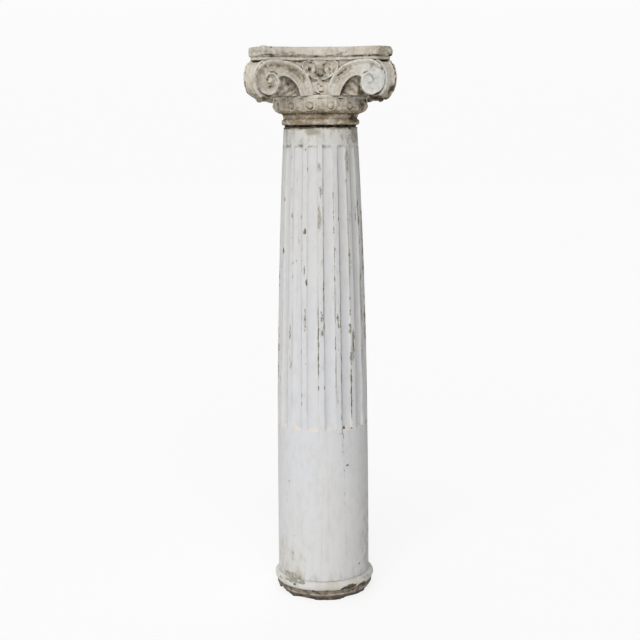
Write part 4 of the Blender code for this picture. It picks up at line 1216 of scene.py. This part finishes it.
def makeAbacus():
    shape = abacusShape
    profile = abacusProfile()
    bm, row, column = wrappedSkin(len(profile), shape["columns"])
    scale, inset, height = profile[row, 0], profile[row, 1], profile[row, 2].copy()
    x, y = np.mean([abacusOutline((column / shape["columns"] + ease * shape["cornerEase"]) % 1.0, inset)
                    for ease in range(-3, 4)], axis=0)
    outward = np.stack([x, y], 1) / np.hypot(x, y)[:, None]
    spots = np.stack([x * scale, y * scale, height], 1)
    onEdge = smoothStep(scale, 0.9, 1.0)
    top = smoothStep(height, capitalHigh.z - 0.007, capitalHigh.z)
    loss = shape["fineWaves"] * roughNoise(spots, 34, 1.0) + shape["broadWaves"] * roughNoise(spots, 11, 2.0)
    loss += shape["dents"] * smoothStep(roughNoise(spots, 52, 7.0), 0.30, 0.55)
    loss += shape["rimLoss"] * top * smoothStep(roughNoise(spots, 26, 5.0), -0.1, 0.6)
    hit = np.zeros(len(x))
    for place, reach, depth in abacusChips:
        near = np.linalg.norm(spots - np.array(place), axis=1) / reach + 0.35 * roughNoise(spots, 90, reach)
        gone = 1.0 - smoothStep(near, 0.55, 1.05)
        loss = loss + depth * gone
        hit = np.maximum(hit, gone)
    height += top * (0.0010 * roughNoise(spots, (17, 17, 1), 31.0) - 0.0012) - 0.0030 * hit * top
    lumpX, lumpY = shape["lump"]
    lump = 1.0 - smoothStep(np.hypot(spots[:, 0] - lumpX, spots[:, 1] - lumpY), 0.004, 0.016)
    height += shape["lumpRise"] * lump * top
    near = np.linalg.norm(spots - np.array(shape["fullCorner"]), axis=1)
    loss -= shape["fullRise"] * (1.0 - smoothStep(near, 0.008, 0.034))
    spots[:, :2] -= outward * (loss * onEdge)[:, None]
    spots[:, 2] = height
    placePoints(bm, spots)
    seat = capitalHigh.z - shape["rollHeight"]
    # darker along the roll's lower edge, brown streaks with painted shade, along the fillet's foot and in the chipped
    # places
    patchy = (0.62 + 0.55 * roughNoise(spots, (20, 20, 8), 12.0)) * onEdge
    lip = 0.95 * hump(height, seat + 0.0025, 0.0042) * patchy
    base = 0.8 * hump(height, seat - 0.0080, 0.0022) * patchy
    layValues(bm, {"laidDirtAndShade": np.maximum(np.maximum(0.9 * hit, lip), base)})
    piece = closedPiece(bm, "capitalAbacus")
    print("abacus made,", len(piece.data.polygons), "faces")
    return piece


# Capital: carved sides

faceShape = {
    "overhang": 0.0475,  # from the shaft's neck to the middle of a side's face
    "arcRadius": 0.2513,
    "turn": 28.0,
    "lean": 0.0240,
    "bellHeight": 0.1020,
}
scrollShape = {
    "voxel": 0.0016,
    "eyeOverhang": 0.0310,
    "radius": 0.0625,
    "pitch": 0.0389,
    "eyeRadius": 0.0093,
    "narrowing": 0.92,
    "ridge": 0.0068,
    "channel": 0.0095,
    "facets": 11,
    "proud": 0.0110,
    "innerReach": 0.0220,
    "flatBelow": 0.95,
    "neckDrop": 1.72,
    "neckBack": 0.66,  # share of the round's width
    "neckFront": 0.78,
    "bead": 0.0030,
    "beadStart": (0.62, 0.74),  # share of the half width
    "beadEnd": (0.88, 1.0),
    "stemOuter": 0.0190,
    "stemInner": 0.0590,
    "crest": (0.47, 0.072),
    "outerHandle": (0.05, 0.66),
    "innerStart": (0.24, 0.27),
    "innerHandle": (0.14, 0.45),
}
heartShape = {
    "voxel": 0.0013,
    "eye": 0.0200,
    "radius": 0.0300,
    "pitch": 0.0215,
    "eyeRadius": 0.0082,
    "drift": 0.0130,  # how far the arch's middle lies outwards of the eye
    "squeeze": 0.95,
    "ridge": 0.0042,
    "channel": 0.0090,
    "proud": 0.0010,
    "drop": 0.0570,
    "footOuter": 0.0150,
    "footInner": 0.0050,
    "crest": (0.052, 0.030),
    "outerHandle": (0.036, -0.0135),
    "attach": (0.016, 0.004),
    "innerStart": (0.006, -0.012),
    "innerHandle": (0.004, -0.022),
    "budRadius": 0.0085,
}
# Height from the abacus's underside, half width and depth of the ground behind the small scrolls
heartGround = [(-0.106, 0.034, 0.0042), (-0.070, 0.034, 0.0045), (-0.060, 0.040, 0.010), (-0.046, 0.048, 0.014),
               (-0.038, 0.054, 0.008), (-0.022, 0.066, 0.007), (-0.010, 0.088, 0.006), (0.003, 0.112, 0.006)]
heartWeb = [(-0.027, 0.0025, 0.004), (-0.018, 0.0080, 0.001), (-0.008, 0.0125, 0.0), (0.003, 0.0230, 0.0)]
heartStalk = [(-0.106, 0.024, 0.003), (-0.085, 0.022, 0.003), (-0.072, 0.019, 0.003), (-0.062, 0.013, 0.007)]
# Knots of the bud: height from the abacus's underside, place across and share of the bud's radius
heartBud = [(-0.100, 0.004, 0.7), (-0.094, -0.006, 0.6), (-0.086, 0.003, 0.95), (-0.078, -0.004, 0.7),
            (-0.071, 0.004, 0.8), (-0.063, -0.001, 0.9)]
# The front left scroll's underside: place across and lowest height
wornUnderside = [(-0.226, 1.6200), (-0.221, 1.6136), (-0.195, 1.5978), (-0.175, 1.5905), (-0.147, 1.5880)]
abacusBottom = capitalHigh.z - abacusShape["rollHeight"] - abacusShape["filletHeight"]
bellBack = shaftNeck + neckShape["bellOverhang"] - 0.0150
eyeAcross = shaftNeck + scrollShape["eyeOverhang"]
carvedTop = 0.0015  # how far the carving runs up into the abacus


def facePlan(across):
    # distance of a side's face from the axis: an arc that runs on straight to the corner
    shape = faceShape
    middle = shaftNeck + shape["overhang"]
    turn = math.radians(shape["turn"])
    arcEnd = shape["arcRadius"] * math.sin(turn)
    if abs(across) < arcEnd:
        return middle + shape["arcRadius"] - math.sqrt(shape["arcRadius"] ** 2 - across ** 2)
    return middle + shape["arcRadius"] * (1.0 - math.cos(turn)) + (abs(across) - arcEnd) * math.tan(turn)


def facePoint(across, height, sink):
    # a point of the front side's face, sunk into it; the stems lean back to the bell below
    shape = faceShape
    inner = 1.0 - float(smoothStep(abs(across), 0.0, eyeAcross * 0.75))
    distance = facePlan(across) - shape["lean"] * (abacusBottom - height) / shape["bellHeight"] * inner
    turn = min(abs(across) / shape["arcRadius"], math.sin(math.radians(shape["turn"])))
    side = math.copysign(1.0, across)
    return Vector((across + sink * turn * side, -distance + sink * math.sqrt(1.0 - turn * turn), height))


stemShare = 0.5  # of the band's length, before the coil starts
leavesAt = 0.8  # turns of the coil where the inner edge of the stem leaves it
bandShape = {
    "ridgeShare": 0.3,  # of the band's width, at most
    "crown": 0.0010,
    "coilSteep": 3.0,
    "coilFill": 0.45,
    "stemEdge": 1.6,  # ridges' widths taken off the stem's channel
    "stemSteep": 4.5,
    "stemFill": 0.62,
    "grooveDepth": 0.07,
    "grooveTurns": 19.0,
}


def bezier(points, share):
    rest = 1.0 - share
    weights = (rest ** 3, 3 * rest ** 2 * share, 3 * rest * share ** 2, share ** 3)
    return sum((Vector(point) * weight for point, weight in zip(points, weights)), Vector((0.0, 0.0)))


def scrollEdges(shape, eye, outerCurve, innerCurve, share):
    # outer and inner edge of the band: up the stem, then round the coil to the eye
    whole = (shape["radius"] - shape["eyeRadius"]) / shape["pitch"]

    def rim(turns):
        done = min(turns / whole, 1.0)
        reach = shape["radius"] + (shape["eyeRadius"] - shape["radius"]) * done
        angle = math.pi / 2 + 2 * math.pi * turns
        if shape.get("facets") and 0.0 < turns < 1.0:
            facet = 2 * math.pi / shape["facets"]
            reach *= 0.5 + 0.5 * math.cos(facet / 2) / math.cos(angle % facet - facet / 2)
        drift = shape.get("drift", 0.0) * (1.0 - done)
        return eye + Vector((drift + reach * math.cos(angle) * shape["squeeze"], reach * math.sin(angle)))
    if share > stemShare:
        turns = (share - stemShare) / (1.0 - stemShare) * whole
        return rim(turns), rim(turns + 1.0)
    down = 1.0 - share / stemShare
    onRim = 0.3
    outer = bezier([rim(0.0)] + outerCurve, down)
    if down < onRim:
        return outer, rim(1.0 - 0.2 * down / onRim)
    return outer, bezier([rim(leavesAt)] + innerCurve, (down - onRim) / (1.0 - onRim))


def bandSink(shape, gap, across, stem, turns):
    # depth of the band's carving: a ridge at the outer edge, a channel, and the stem's inner ridge
    band = bandShape
    ridge = min(shape["ridge"], band["ridgeShare"] * gap)
    if shape.get("facets"):
        ridge *= 1.0 - 0.9 * float(smoothStep(turns, 0.10, 0.16) * fallStep(turns, 0.36, 0.42))
    place = across * gap
    crown = band["crown"] * (2.0 * place / ridge - 1.0) ** 2 if place < ridge else 0.0
    coil = min(max((place - ridge) / max(gap - ridge, 1e-6), 0.0), 1.0)
    coilDepth = math.sin(math.pi / 2 * min(coil * band["coilSteep"], 1.0)) * (1.0 - band["coilFill"] * coil)
    middle = min(max((place - ridge) / max(gap - band["stemEdge"] * ridge, 1e-6), 0.0), 1.0)
    stemDepth = math.sin(math.pi / 2 * min(middle * band["stemSteep"], 1.0)) * (1.0 - band["stemFill"] * middle)
    stemDepth *= 1.0 - float(smoothStep(middle, 0.90, 1.0))
    stemDepth += band["grooveDepth"] * math.sin(middle * band["grooveTurns"]) * (0.15 < middle < 0.85)
    return crown + shape["channel"] * (stem * stemDepth + (1.0 - stem) * coilDepth)


def thickGrid(bm, along, across):
    # a grid with a copy behind it, closed at the edges: each set of points, and whether it is the back
    made = bmesh.ops.create_grid(bm, x_segments=along, y_segments=across, size=0.5)["verts"]
    faces = list({face for vert in made for face in vert.link_faces})
    backs = [part for part in bmesh.ops.extrude_face_region(bm, geom=faces)["geom"]
             if isinstance(part, bmesh.types.BMVert)]
    return (made, False), (backs, True)


def addBand(bm, shape, eye, outerCurve, innerCurve, coilBack, stemBack, steps):
    # the carved band of one scroll as a closed body, from a grid bent along it and thickened to its back
    for verts, isBack in thickGrid(bm, *steps):
        for vert in verts:
            share, over = vert.co.x + 0.5, vert.co.y + 0.5
            outer, inner = scrollEdges(shape, eye, outerCurve, innerCurve, share)
            spot = outer + (inner - outer) * over
            if not isBack:
                stem = 1.0 - float(smoothStep(share, 0.33, 0.40))
                coiled = (share - stemShare) / (1.0 - stemShare)
                turns = coiled * (shape["radius"] - shape["eyeRadius"]) / shape["pitch"]
                sink = bandSink(shape, (inner - outer).length, over, stem, turns)
                sink = sink * (0.30 + 0.70 * float(smoothStep(share, 0.02, 0.16))) - shape.get("lift", 0.0)
                vert.co = facePoint(spot.x, spot.y, sink)
            elif share > stemShare:
                vert.co = facePoint(spot.x, spot.y, coilBack)
            else:
                vert.co = Vector((spot.x, -stemBack(spot.x), spot.y))


def addKnob(bm, shape, eye, rise):
    # the eye, a flat dome
    place = facePoint(eye.x, eye.y, 0.004 - shape.get("lift", 0.0))
    made = bmesh.ops.create_uvsphere(bm, u_segments=20, v_segments=12, radius=shape["eyeRadius"])["verts"]
    for vert in made:
        vert.co.y *= rise
    bmesh.ops.translate(bm, verts=made, vec=place)


def addScrollBody(bm):
    # the thick round between two neighbouring faces, a grid wrapped round with beads at its edges
    shape = scrollShape
    eyeDistance = facePlan(eyeAcross)
    eyeAlong = (eyeAcross + eyeDistance) / math.sqrt(2)
    eyeAside = (eyeDistance - eyeAcross) / math.sqrt(2)
    slope = math.tan(math.pi / 4 - math.radians(faceShape["turn"]))
    reachOut = shape["narrowing"] * (shape["radius"] - shape["pitch"] / 4) * math.cos(math.atan(slope))
    bodyTop = abacusBottom + 0.003
    made = bmesh.ops.create_grid(bm, x_segments=72, y_segments=18, size=0.5)["verts"]
    for vert in made:
        bend = 2 * math.pi * (vert.co.x + 0.5)
        over = vert.co.y * 2.0
        bead = smoothStep(abs(over), *shape["beadStart"]) * (1.0 - 0.5 * smoothStep(abs(over), *shape["beadEnd"]))
        waist = 1.0 - float(shape["bead"] * (1.0 - bead)) / shape["radius"] * 1.6
        reach = reachOut if math.cos(bend) > 0 else shape["innerReach"]
        along = eyeAlong + reach * math.cos(bend) * waist
        half = eyeAside + (eyeAlong - along) * slope - shape["proud"]
        drop = math.sin(bend) * waist * (shape["flatBelow"] if math.sin(bend) < 0 else 1.0)
        vert.co = Vector((along, over * half, bodyTop - shape["radius"] * (1.0 - drop)))
    turned = Matrix.Rotation(-3 * math.pi / 4, 4, "Z")
    bmesh.ops.transform(bm, matrix=turned, verts=made)
    bmesh.ops.remove_doubles(bm, verts=made, dist=1e-6)
    rims = [edge for edge in bm.edges if edge.is_boundary and edge.verts[0] in set(made)]
    bmesh.ops.holes_fill(bm, edges=rims, sides=0)
    # the neck of the scroll, from the round back into the bell
    block = bmesh.ops.create_cube(bm, size=1.0)["verts"]
    for vert in block:
        along = bellBack if vert.co.x < 0 else eyeAlong
        half = eyeAside + (eyeAlong - along) * slope - shape["proud"]
        half *= shape["neckBack"] if vert.co.x < 0 else shape["neckFront"]
        height = bodyTop if vert.co.z > 0 else bodyTop - shape["radius"] * shape["neckDrop"]
        vert.co = Vector((along, math.copysign(half, vert.co.y), height))
    bmesh.ops.transform(bm, matrix=turned, verts=block)


def remeshed(bm, name, voxel, rounds):
    # one skin round overlapping bodies, its steps smoothed away
    bmesh.ops.recalc_face_normals(bm, faces=bm.faces)
    rough = addObject(name, meshFrom(bm, name))
    skin = rough.modifiers.new("skin", "REMESH")
    skin.mode = "VOXEL"
    skin.voxel_size = voxel
    ease = rough.modifiers.new("ease", "SMOOTH")
    ease.factor = 0.5
    ease.iterations = rounds
    graph = bpy.context.evaluated_depsgraph_get()
    made = bpy.data.meshes.new_from_object(rough.evaluated_get(graph))
    bpy.data.objects.remove(rough)
    return made


def mirrored(bm, matrix):
    bmesh.ops.mirror(bm, geom=bm.verts[:] + bm.edges[:] + bm.faces[:], matrix=matrix, merge_dist=1e-7, axis="X")


def cornerScrollMesh():
    # the scroll at the front left corner with its two stems, one on each side of the corner
    shape = dict(scrollShape, squeeze=scrollShape["narrowing"] * math.cos(math.radians(faceShape["turn"])))
    top = abacusBottom + carvedTop
    foot = abacusBottom - faceShape["bellHeight"] - 0.004
    radius = shape["radius"]
    eye = Vector((-eyeAcross, top - radius))

    def stemCurve(start, aside, handle):
        return [start, Vector((-aside - handle[0] * radius, foot + handle[1] * (top - foot))), Vector((-aside, foot))]
    outerCurve = stemCurve(Vector((-shape["crest"][0] * eyeAcross, top + shape["crest"][1] * radius)),
                           shape["stemOuter"], shape["outerHandle"])
    reach = radius - shape["pitch"] * leavesAt
    angle = math.pi / 2 + 2 * math.pi * leavesAt
    attach = eye + Vector((reach * math.cos(angle) * shape["squeeze"], reach * math.sin(angle)))
    innerCurve = stemCurve(attach + Vector(shape["innerStart"]) * radius, shape["stemInner"], shape["innerHandle"])
    bm = bmesh.new()
    addBand(bm, shape, eye, outerCurve, innerCurve, 0.020, lambda across: max(abs(across) - 0.003, bellBack),
            (190, 22))
    addKnob(bm, shape, eye, 0.8)
    mirrored(bm, Matrix.Rotation(-math.pi / 4, 4, "Z"))
    addScrollBody(bm)
    return remeshed(bm, "cornerScroll", shape["voxel"], 4)


def addGround(bm, table, back):
    # a slab that follows the side's face, its half width and depth taken from a table by height
    heights, widths, depths = np.array(table).T
    for verts, isBack in thickGrid(bm, 40, 36):
        for vert in verts:
            height = heights[0] + (vert.co.y + 0.5) * (heights[-1] - heights[0])
            across = 2 * vert.co.x * np.interp(height, heights, widths)
            vert.co = facePoint(across, abacusBottom + height, float(np.interp(height, heights, depths)))
            if isBack:
                vert.co.y = -back


def heartMesh():
    # the two small scrolls in the middle of the front, the ground behind them and the bud below
    shape = dict(heartShape, lift=heartShape["proud"])
    top = abacusBottom + carvedTop
    foot = abacusBottom - shape["drop"]
    eye = Vector((shape["eye"], top - shape["radius"]))
    outerCurve = [eye + Vector(shape["crest"]), eye + Vector(shape["outerHandle"]), Vector((shape["footOuter"], foot))]
    low = Vector((shape["footInner"], foot))
    innerCurve = [eye + Vector(shape["attach"]) + Vector(shape["innerStart"]), low - Vector(shape["innerHandle"]), low]
    bm = bmesh.new()
    addBand(bm, shape, eye, outerCurve, innerCurve, 0.026, lambda across: shaftNeck + 0.012, (130, 16))
    addKnob(bm, shape, eye, 0.9)
    mirrored(bm, Matrix.Identity(4))
    for table in (heartGround, heartWeb, heartStalk):
        addGround(bm, table, bellBack)
    for rise, aside, size in heartBud:
        knot = bmesh.ops.create_uvsphere(bm, u_segments=16, v_segments=10, radius=shape["budRadius"] * size)["verts"]
        bmesh.ops.translate(bm, verts=knot, vec=facePoint(aside, abacusBottom + rise, 0.0045))
    return remeshed(bm, "heart", shape["voxel"], 3)


def sideView(places):
    # each point as seen by the side that it belongs to: across, towards the viewer, height
    x, y = np.abs(places[:, :2]).T
    return np.stack([np.minimum(x, y), np.maximum(x, y), places[:, 2]], 1)


def carvedDepth(seen):
    # how far each point lies behind the side's face
    lean = faceShape["lean"] * (abacusBottom - seen[:, 2]) / faceShape["bellHeight"]
    inner = 1.0 - smoothStep(seen[:, 0], 0.0, eyeAcross * 0.75)
    return np.array([facePlan(across) for across in seen[:, 0]]) - lean * inner - seen[:, 1]


def discEdge(seen):
    # distance outside the disc's outline, measured in the side's face
    shape = scrollShape
    squeeze = shape["narrowing"] * math.cos(math.radians(faceShape["turn"]))
    across = (seen[:, 0] - eyeAcross) / squeeze
    up = seen[:, 2] - (abacusBottom + carvedTop - shape["radius"])
    turns = (np.arctan2(-across, up) / (-2 * math.pi)) % 1.0
    return np.hypot(across, up) - (shape["radius"] - shape["pitch"] * turns), turns


carvingWear = {
    "broadWaves": 0.0010,
    "fineWaves": 0.0006,
    "grit": 0.0004,
    "bites": 0.0016,
    "ringDepth": 0.0022,
    "ringWidth": 0.0020,
    "ringDirt": 0.95,
    "channelDark": (0.60, 0.52),  # on the left and on the right of the photo
    "belowShadow": (0.68, 1.10),
    "stemDirt": 0.58,
    "heartStems": 0.35,
    "cutDirtAndShade": (0.34, 0.24, 0.18),  # all over, in the cuts and in broad patches
}


def wearCarving(mesh, seed):
    # soft losses all over, more on what stands out, a broken groove round the disc, and small pits
    wear = carvingWear
    places = meshPoints(mesh)
    seen = sideView(places)
    across, depth = seen[:, 0], carvedDepth(seen)
    away, turns = discEdge(seen)
    broad = roughNoise(places, 24, seed)
    fine = roughNoise(places, 85, seed + 3.0)
    bites = smoothStep(roughNoise(places, 48, seed + 9.0), 0.32, 0.60)
    grit = roughNoise(places, 190, seed + 5.0, 2)
    ring = hump(away + 0.0012 * fine, 0.0018, wear["ringWidth"]) * smoothStep(depth, 0.003, 0.006)
    ring *= fallStep(depth, 0.016, 0.022) * smoothStep(turns, 0.02, 0.12) * smoothStep(broad + 0.9 * fine, -0.7, -0.2)
    loss = wear["broadWaves"] * broad + wear["fineWaves"] * fine + wear["grit"] * grit
    loss += wear["bites"] * bites + wear["ringDepth"] * ring
    setPoints(mesh, places - meshNormals(mesh) * loss[:, None])
    # darker in the disc's channel; dirt on the stems and in the broken groove round the disc; painted shadow on the
    # round below the disc; painted shade with tool-mark stripes in the deep hollow between disc and stem
    shallow = smoothStep(depth, 0.0035, 0.0080) * fallStep(depth, 0.0115, 0.0150)
    upper = fallStep(turns, 0.08, 0.20) + smoothStep(turns, 0.80, 0.95)
    channel = shallow * (0.25 + 0.75 * upper) * (away < 0.0) * smoothStep(across, 0.085, 0.125)
    stems = shallow * fallStep(across, 0.085, 0.125) * (wear["heartStems"] if mesh.name.startswith("heart") else 1.0)
    below = smoothStep(turns, 0.36, 0.45) * fallStep(turns, 0.76, 0.86) * smoothStep(away, 0.0, 0.002)
    below *= smoothStep(depth, 0.006, 0.009) * smoothStep(across, 0.105, 0.12) * (0.75 + 0.35 * fine)
    patchy = 0.5 + 0.5 * smoothStep(broad + 0.6 * fine, -0.5, 0.4)
    side = 0 if places[:, 0].mean() < 0 else 1
    cuts = np.sin(260 * (across * 0.75 + seen[:, 2]) + 2.4 * broad + 1.6 * fine)
    within = smoothStep(depth, 0.019, 0.026) * smoothStep(seen[:, 2], 1.601, 1.607)
    within *= smoothStep(across, 0.055, 0.070) * fallStep(across, 0.128, 0.142)
    allOver, inCuts, inPatches = wear["cutDirtAndShade"]
    dirtAndShade = patchy * np.maximum(wear["channelDark"][side] * channel, wear["stemDirt"] * stems)
    dirtAndShade = np.maximum(np.maximum(dirtAndShade, wear["ringDirt"] * ring), wear["belowShadow"][side] * below)
    paintValue(mesh, "laidDirtAndShade", np.maximum(dirtAndShade, (allOver + inCuts * cuts + inPatches * broad) * within))


def flattenBelow(mesh):
    # the front left scroll is worn flat underneath
    places = meshPoints(mesh)
    line = np.interp(places[:, 0], *np.array(wornUnderside).T)
    places[:, 2] += 0.9 * np.maximum(line - places[:, 2], 0.0)
    setPoints(mesh, places)


def makeCarving():
    pieces = []
    for base, label in ((cornerScrollMesh(), "cornerScroll"), (heartMesh(), "sideHeart")):
        for turn in range(4):
            mesh = base.copy()
            mesh.transform(Matrix.Rotation(turn * math.pi / 2, 4, "Z"))
            wearCarving(mesh, 5.0 + turn)
            if label == "cornerScroll" and turn == 0:
                flattenBelow(mesh)
            mesh.shade_smooth()
            pieces.append(addObject("%s_%d" % (label, turn), mesh))
        print(label, "made,", len(base.polygons), "faces each")
    return pieces


# Dirt and painted shadow on the front: across, height, half length and half width in metres, turn in degrees,
# strength; the painted shadows lie under the small scrolls' eyes, below the corner scrolls' discs and on the egg
# ring's right end under the right scroll
sootAndShadowSpots = [
    (-0.028, 1.7055, 0.005, 0.003, 15, 0.9), (-0.034, 1.6855, 0.007, 0.0028, 90, 1.1),
    (-0.029, 1.662, 0.012, 0.0022, -60, 0.7), (0.0, 1.648, 0.014, 0.013, 0, 0.40),
    (0.0115, 1.6995, 0.008, 0.0022, 42, 1.1), (0.0, 1.6665, 0.020, 0.0062, 0, 0.74),
    (-0.017, 1.663, 0.006, 0.003, 0, 0.45), (0.0175, 1.662, 0.006, 0.003, 0, 0.5),
    (-0.011, 1.6155, 0.003, 0.003, 0, 0.9), (0.0025, 1.6365, 0.004, 0.0025, 0, 0.75),
    (-0.150, 1.6335, 0.008, 0.0045, 20, 0.85), (-0.158, 1.653, 0.003, 0.003, 0, 0.9),
    (0.055, 1.668, 0.006, 0.003, 40, 0.95), (0.064, 1.674, 0.007, 0.0045, 35, 0.85),
    (0.076, 1.683, 0.008, 0.0045, 30, 0.8), (0.158, 1.6515, 0.007, 0.0018, 80, 0.60),
    (0.144, 1.635, 0.005, 0.0016, 0, 0.42), (0.1655, 1.629, 0.003, 0.0016, 0, 0.5),
    (0.1715, 1.696, 0.003, 0.002, -40, 0.9), (0.182, 1.684, 0.007, 0.003, -50, 1.0),
    (0.191, 1.671, 0.006, 0.002, 90, 0.7), (0.203, 1.730, 0.0035, 0.0035, 0, 0.85),
    (0.211, 1.724, 0.0055, 0.0045, 20, 1.25), (0.1865, 1.736, 0.007, 0.005, 0, 0.5),
    (0.213, 1.623, 0.017, 0.0090, 60, 0.95), (-0.150, 1.7275, 0.030, 0.0028, 0, 0.85),
    (-0.075, 1.7265, 0.040, 0.0026, 0, 0.7), (0.129, 1.616, 0.010, 0.0030, -50, 1.1),
    (0.172, 1.612, 0.014, 0.0035, 25, 1.1), (0.163, 1.5965, 0.024, 0.0085, 8, 1.40),
    (0.150, 1.603, 0.012, 0.0040, -15, 1.0), (-0.162, 1.5985, 0.026, 0.0075, -8, 0.75),
    (-0.178, 1.739, 0.042, 0.013, 0, 0.40), (-0.199, 1.737, 0.014, 0.016, 0, 0.42),
    (0.127, 1.580, 0.020, 0.013, 90, 0.70), (0.097, 1.545, 0.022, 0.013, 80, 0.85),
    (0.104, 1.537, 0.014, 0.011, 90, 0.80), (0.078, 1.733, 0.026, 0.010, 0, 0.34),
    (-0.100, 1.732, 0.040, 0.008, 0, 0.38), (-0.068, 1.7085, 0.020, 0.0030, 0, 0.8),
    (-0.048, 1.712, 0.010, 0.0028, 0, 0.7), (-0.187, 1.752, 0.0022, 0.004, 0, 0.8),
    (-0.145, 1.7505, 0.005, 0.003, 0, 0.8), (0.055, 1.7285, 0.016, 0.0035, 12, 0.6),
    (0.028, 1.725, 0.020, 0.0028, 5, 0.7), (-0.1760, 1.6780, 0.020, 0.0080, 58, 0.48),
    (-0.1520, 1.6935, 0.024, 0.0085, 24, 0.52), (-0.1215, 1.6965, 0.028, 0.0085, 0, 0.52),
    (-0.0925, 1.6915, 0.024, 0.0085, -22, 0.50), (-0.0700, 1.6780, 0.020, 0.0070, -44, 0.44),
]


def frontSootAndShadow(places, normals):
    dirtAndShade = np.zeros(len(places))
    facing = (places[:, 1] < -0.020) & (normals[:, 1] < 0.35)
    rough = 0.35 * roughNoise(places, 120, 17.0)
    for across, height, length, width, turn, strength in sootAndShadowSpots:
        tilt = math.radians(turn)
        aside, up = places[:, 0] - across, places[:, 2] - height
        along = (aside * math.cos(tilt) + up * math.sin(tilt)) / length
        over = (up * math.cos(tilt) - aside * math.sin(tilt)) / width
        dirtAndShade = np.maximum(dirtAndShade, strength * np.exp(-0.8 * (along ** 2 + over ** 2)) * facing)
    return dirtAndShade * (1.0 + rough)


shadeAndSootSetup = {
    "reach": 0.045,  # how far the rays look for other parts of the carving
    "rays": 20,
    "shadeUnderneath": 0.55,
    "rubbedHighlight": 0.50,
    "rubbedHighlightAbacus": 0.08,
}


def raysAround():
    # directions spread evenly round a ball
    rays = []
    for step in range(shadeAndSootSetup["rays"]):
        z = 1.0 - 2.0 * (step + 0.5) / shadeAndSootSetup["rays"]
        around = step * math.pi * (3.0 - math.sqrt(5.0))
        rays.append(Vector((math.sqrt(1.0 - z * z) * math.cos(around), math.sqrt(1.0 - z * z) * math.sin(around), z)))
    return rays


def shutIn(places, normals, tree):
    # how closed in each point is, for painted shade: rays sent out around its normal
    reach, rays = shadeAndSootSetup["reach"], raysAround()
    hollow = np.zeros(len(places))
    for number, (place, normal) in enumerate(zip(places, normals)):
        start = Vector(place + normal * 0.0015)
        shut = total = 0.0
        for ray in rays:
            facing = ray[0] * normal[0] + ray[1] * normal[1] + ray[2] * normal[2]
            if facing > 0.2:
                total += facing
                hit = tree.ray_cast(start, ray, reach)[3]
                if hit is not None:
                    shut += facing * (1.0 - hit / reach)
        hollow[number] = shut / total if total else 0.0
    return hollow


def standsOut(mesh, places, normals):
    # 1 on the edges and rims that stand out by a millimetre or more from the points around them
    ends = np.zeros(len(mesh.edges) * 2, dtype=np.int32)
    mesh.edges.foreach_get("vertices", ends)
    start, end = ends.reshape(-1, 2).T
    near = np.maximum(np.bincount(ends, minlength=len(places)), 1)
    smooth = places
    for _ in range(10):
        around = [np.bincount(start, part[end], len(places)) + np.bincount(end, part[start], len(places))
                  for part in smooth.T]
        smooth = np.stack(around, 1) / near[:, None]
    return smoothStep(((places - smooth) * normals).sum(1), 0.0001, 0.0010)


def paintHollows(pieces):
    # painted shade where the carving is closed in and underneath, dirt and painted shadow in the marked places and
    # where it was laid before, and a painted highlight with rubbed wear on what stands out
    bm = bmesh.new()
    for piece in pieces:
        bm.from_mesh(piece.data)
    tree = BVHTree.FromBMesh(bm)
    bm.free()
    known = {}  # the four copies of a carving are closed in alike
    for piece in pieces:
        places = meshPoints(piece.data)
        normals = meshNormals(piece.data)
        family = piece.name.split("_")[0]
        if family not in known:
            known[family] = shutIn(places, normals, tree)
        # painted shade on faces that look down, low on the carving
        facingDown = smoothStep(-normals[:, 2], 0.10, 0.80) * fallStep(places[:, 2], 1.62, 1.665)
        hollow = known[family] + shadeAndSootSetup["shadeUnderneath"] * facingDown
        laid = np.zeros(len(places))
        piece.data.attributes["laidDirtAndShade"].data.foreach_get("value", laid)
        hollow = np.maximum(np.maximum(hollow + np.minimum(laid, 0.0), laid), frontSootAndShadow(places, normals))
        rubbedHighlight = shadeAndSootSetup["rubbedHighlightAbacus" if family == "capitalAbacus" else "rubbedHighlight"]
        # a painted highlight, with rubbed wear, on what stands out where it is not closed in
        hollow -= rubbedHighlight * standsOut(piece.data, places, normals) * (1.0 - smoothStep(hollow, 0.15, 0.50))
        paintValue(piece.data, "hollow", hollow)
    print("dirt laid in the hollows")


capitalPieces = [makeNeck(), makeAbacus()] + makeCarving()
paintHollows(capitalPieces)
for capitalPiece in capitalPieces:
    finishPiece(capitalPiece, "capital", capitalPaint)
print("capital finished")
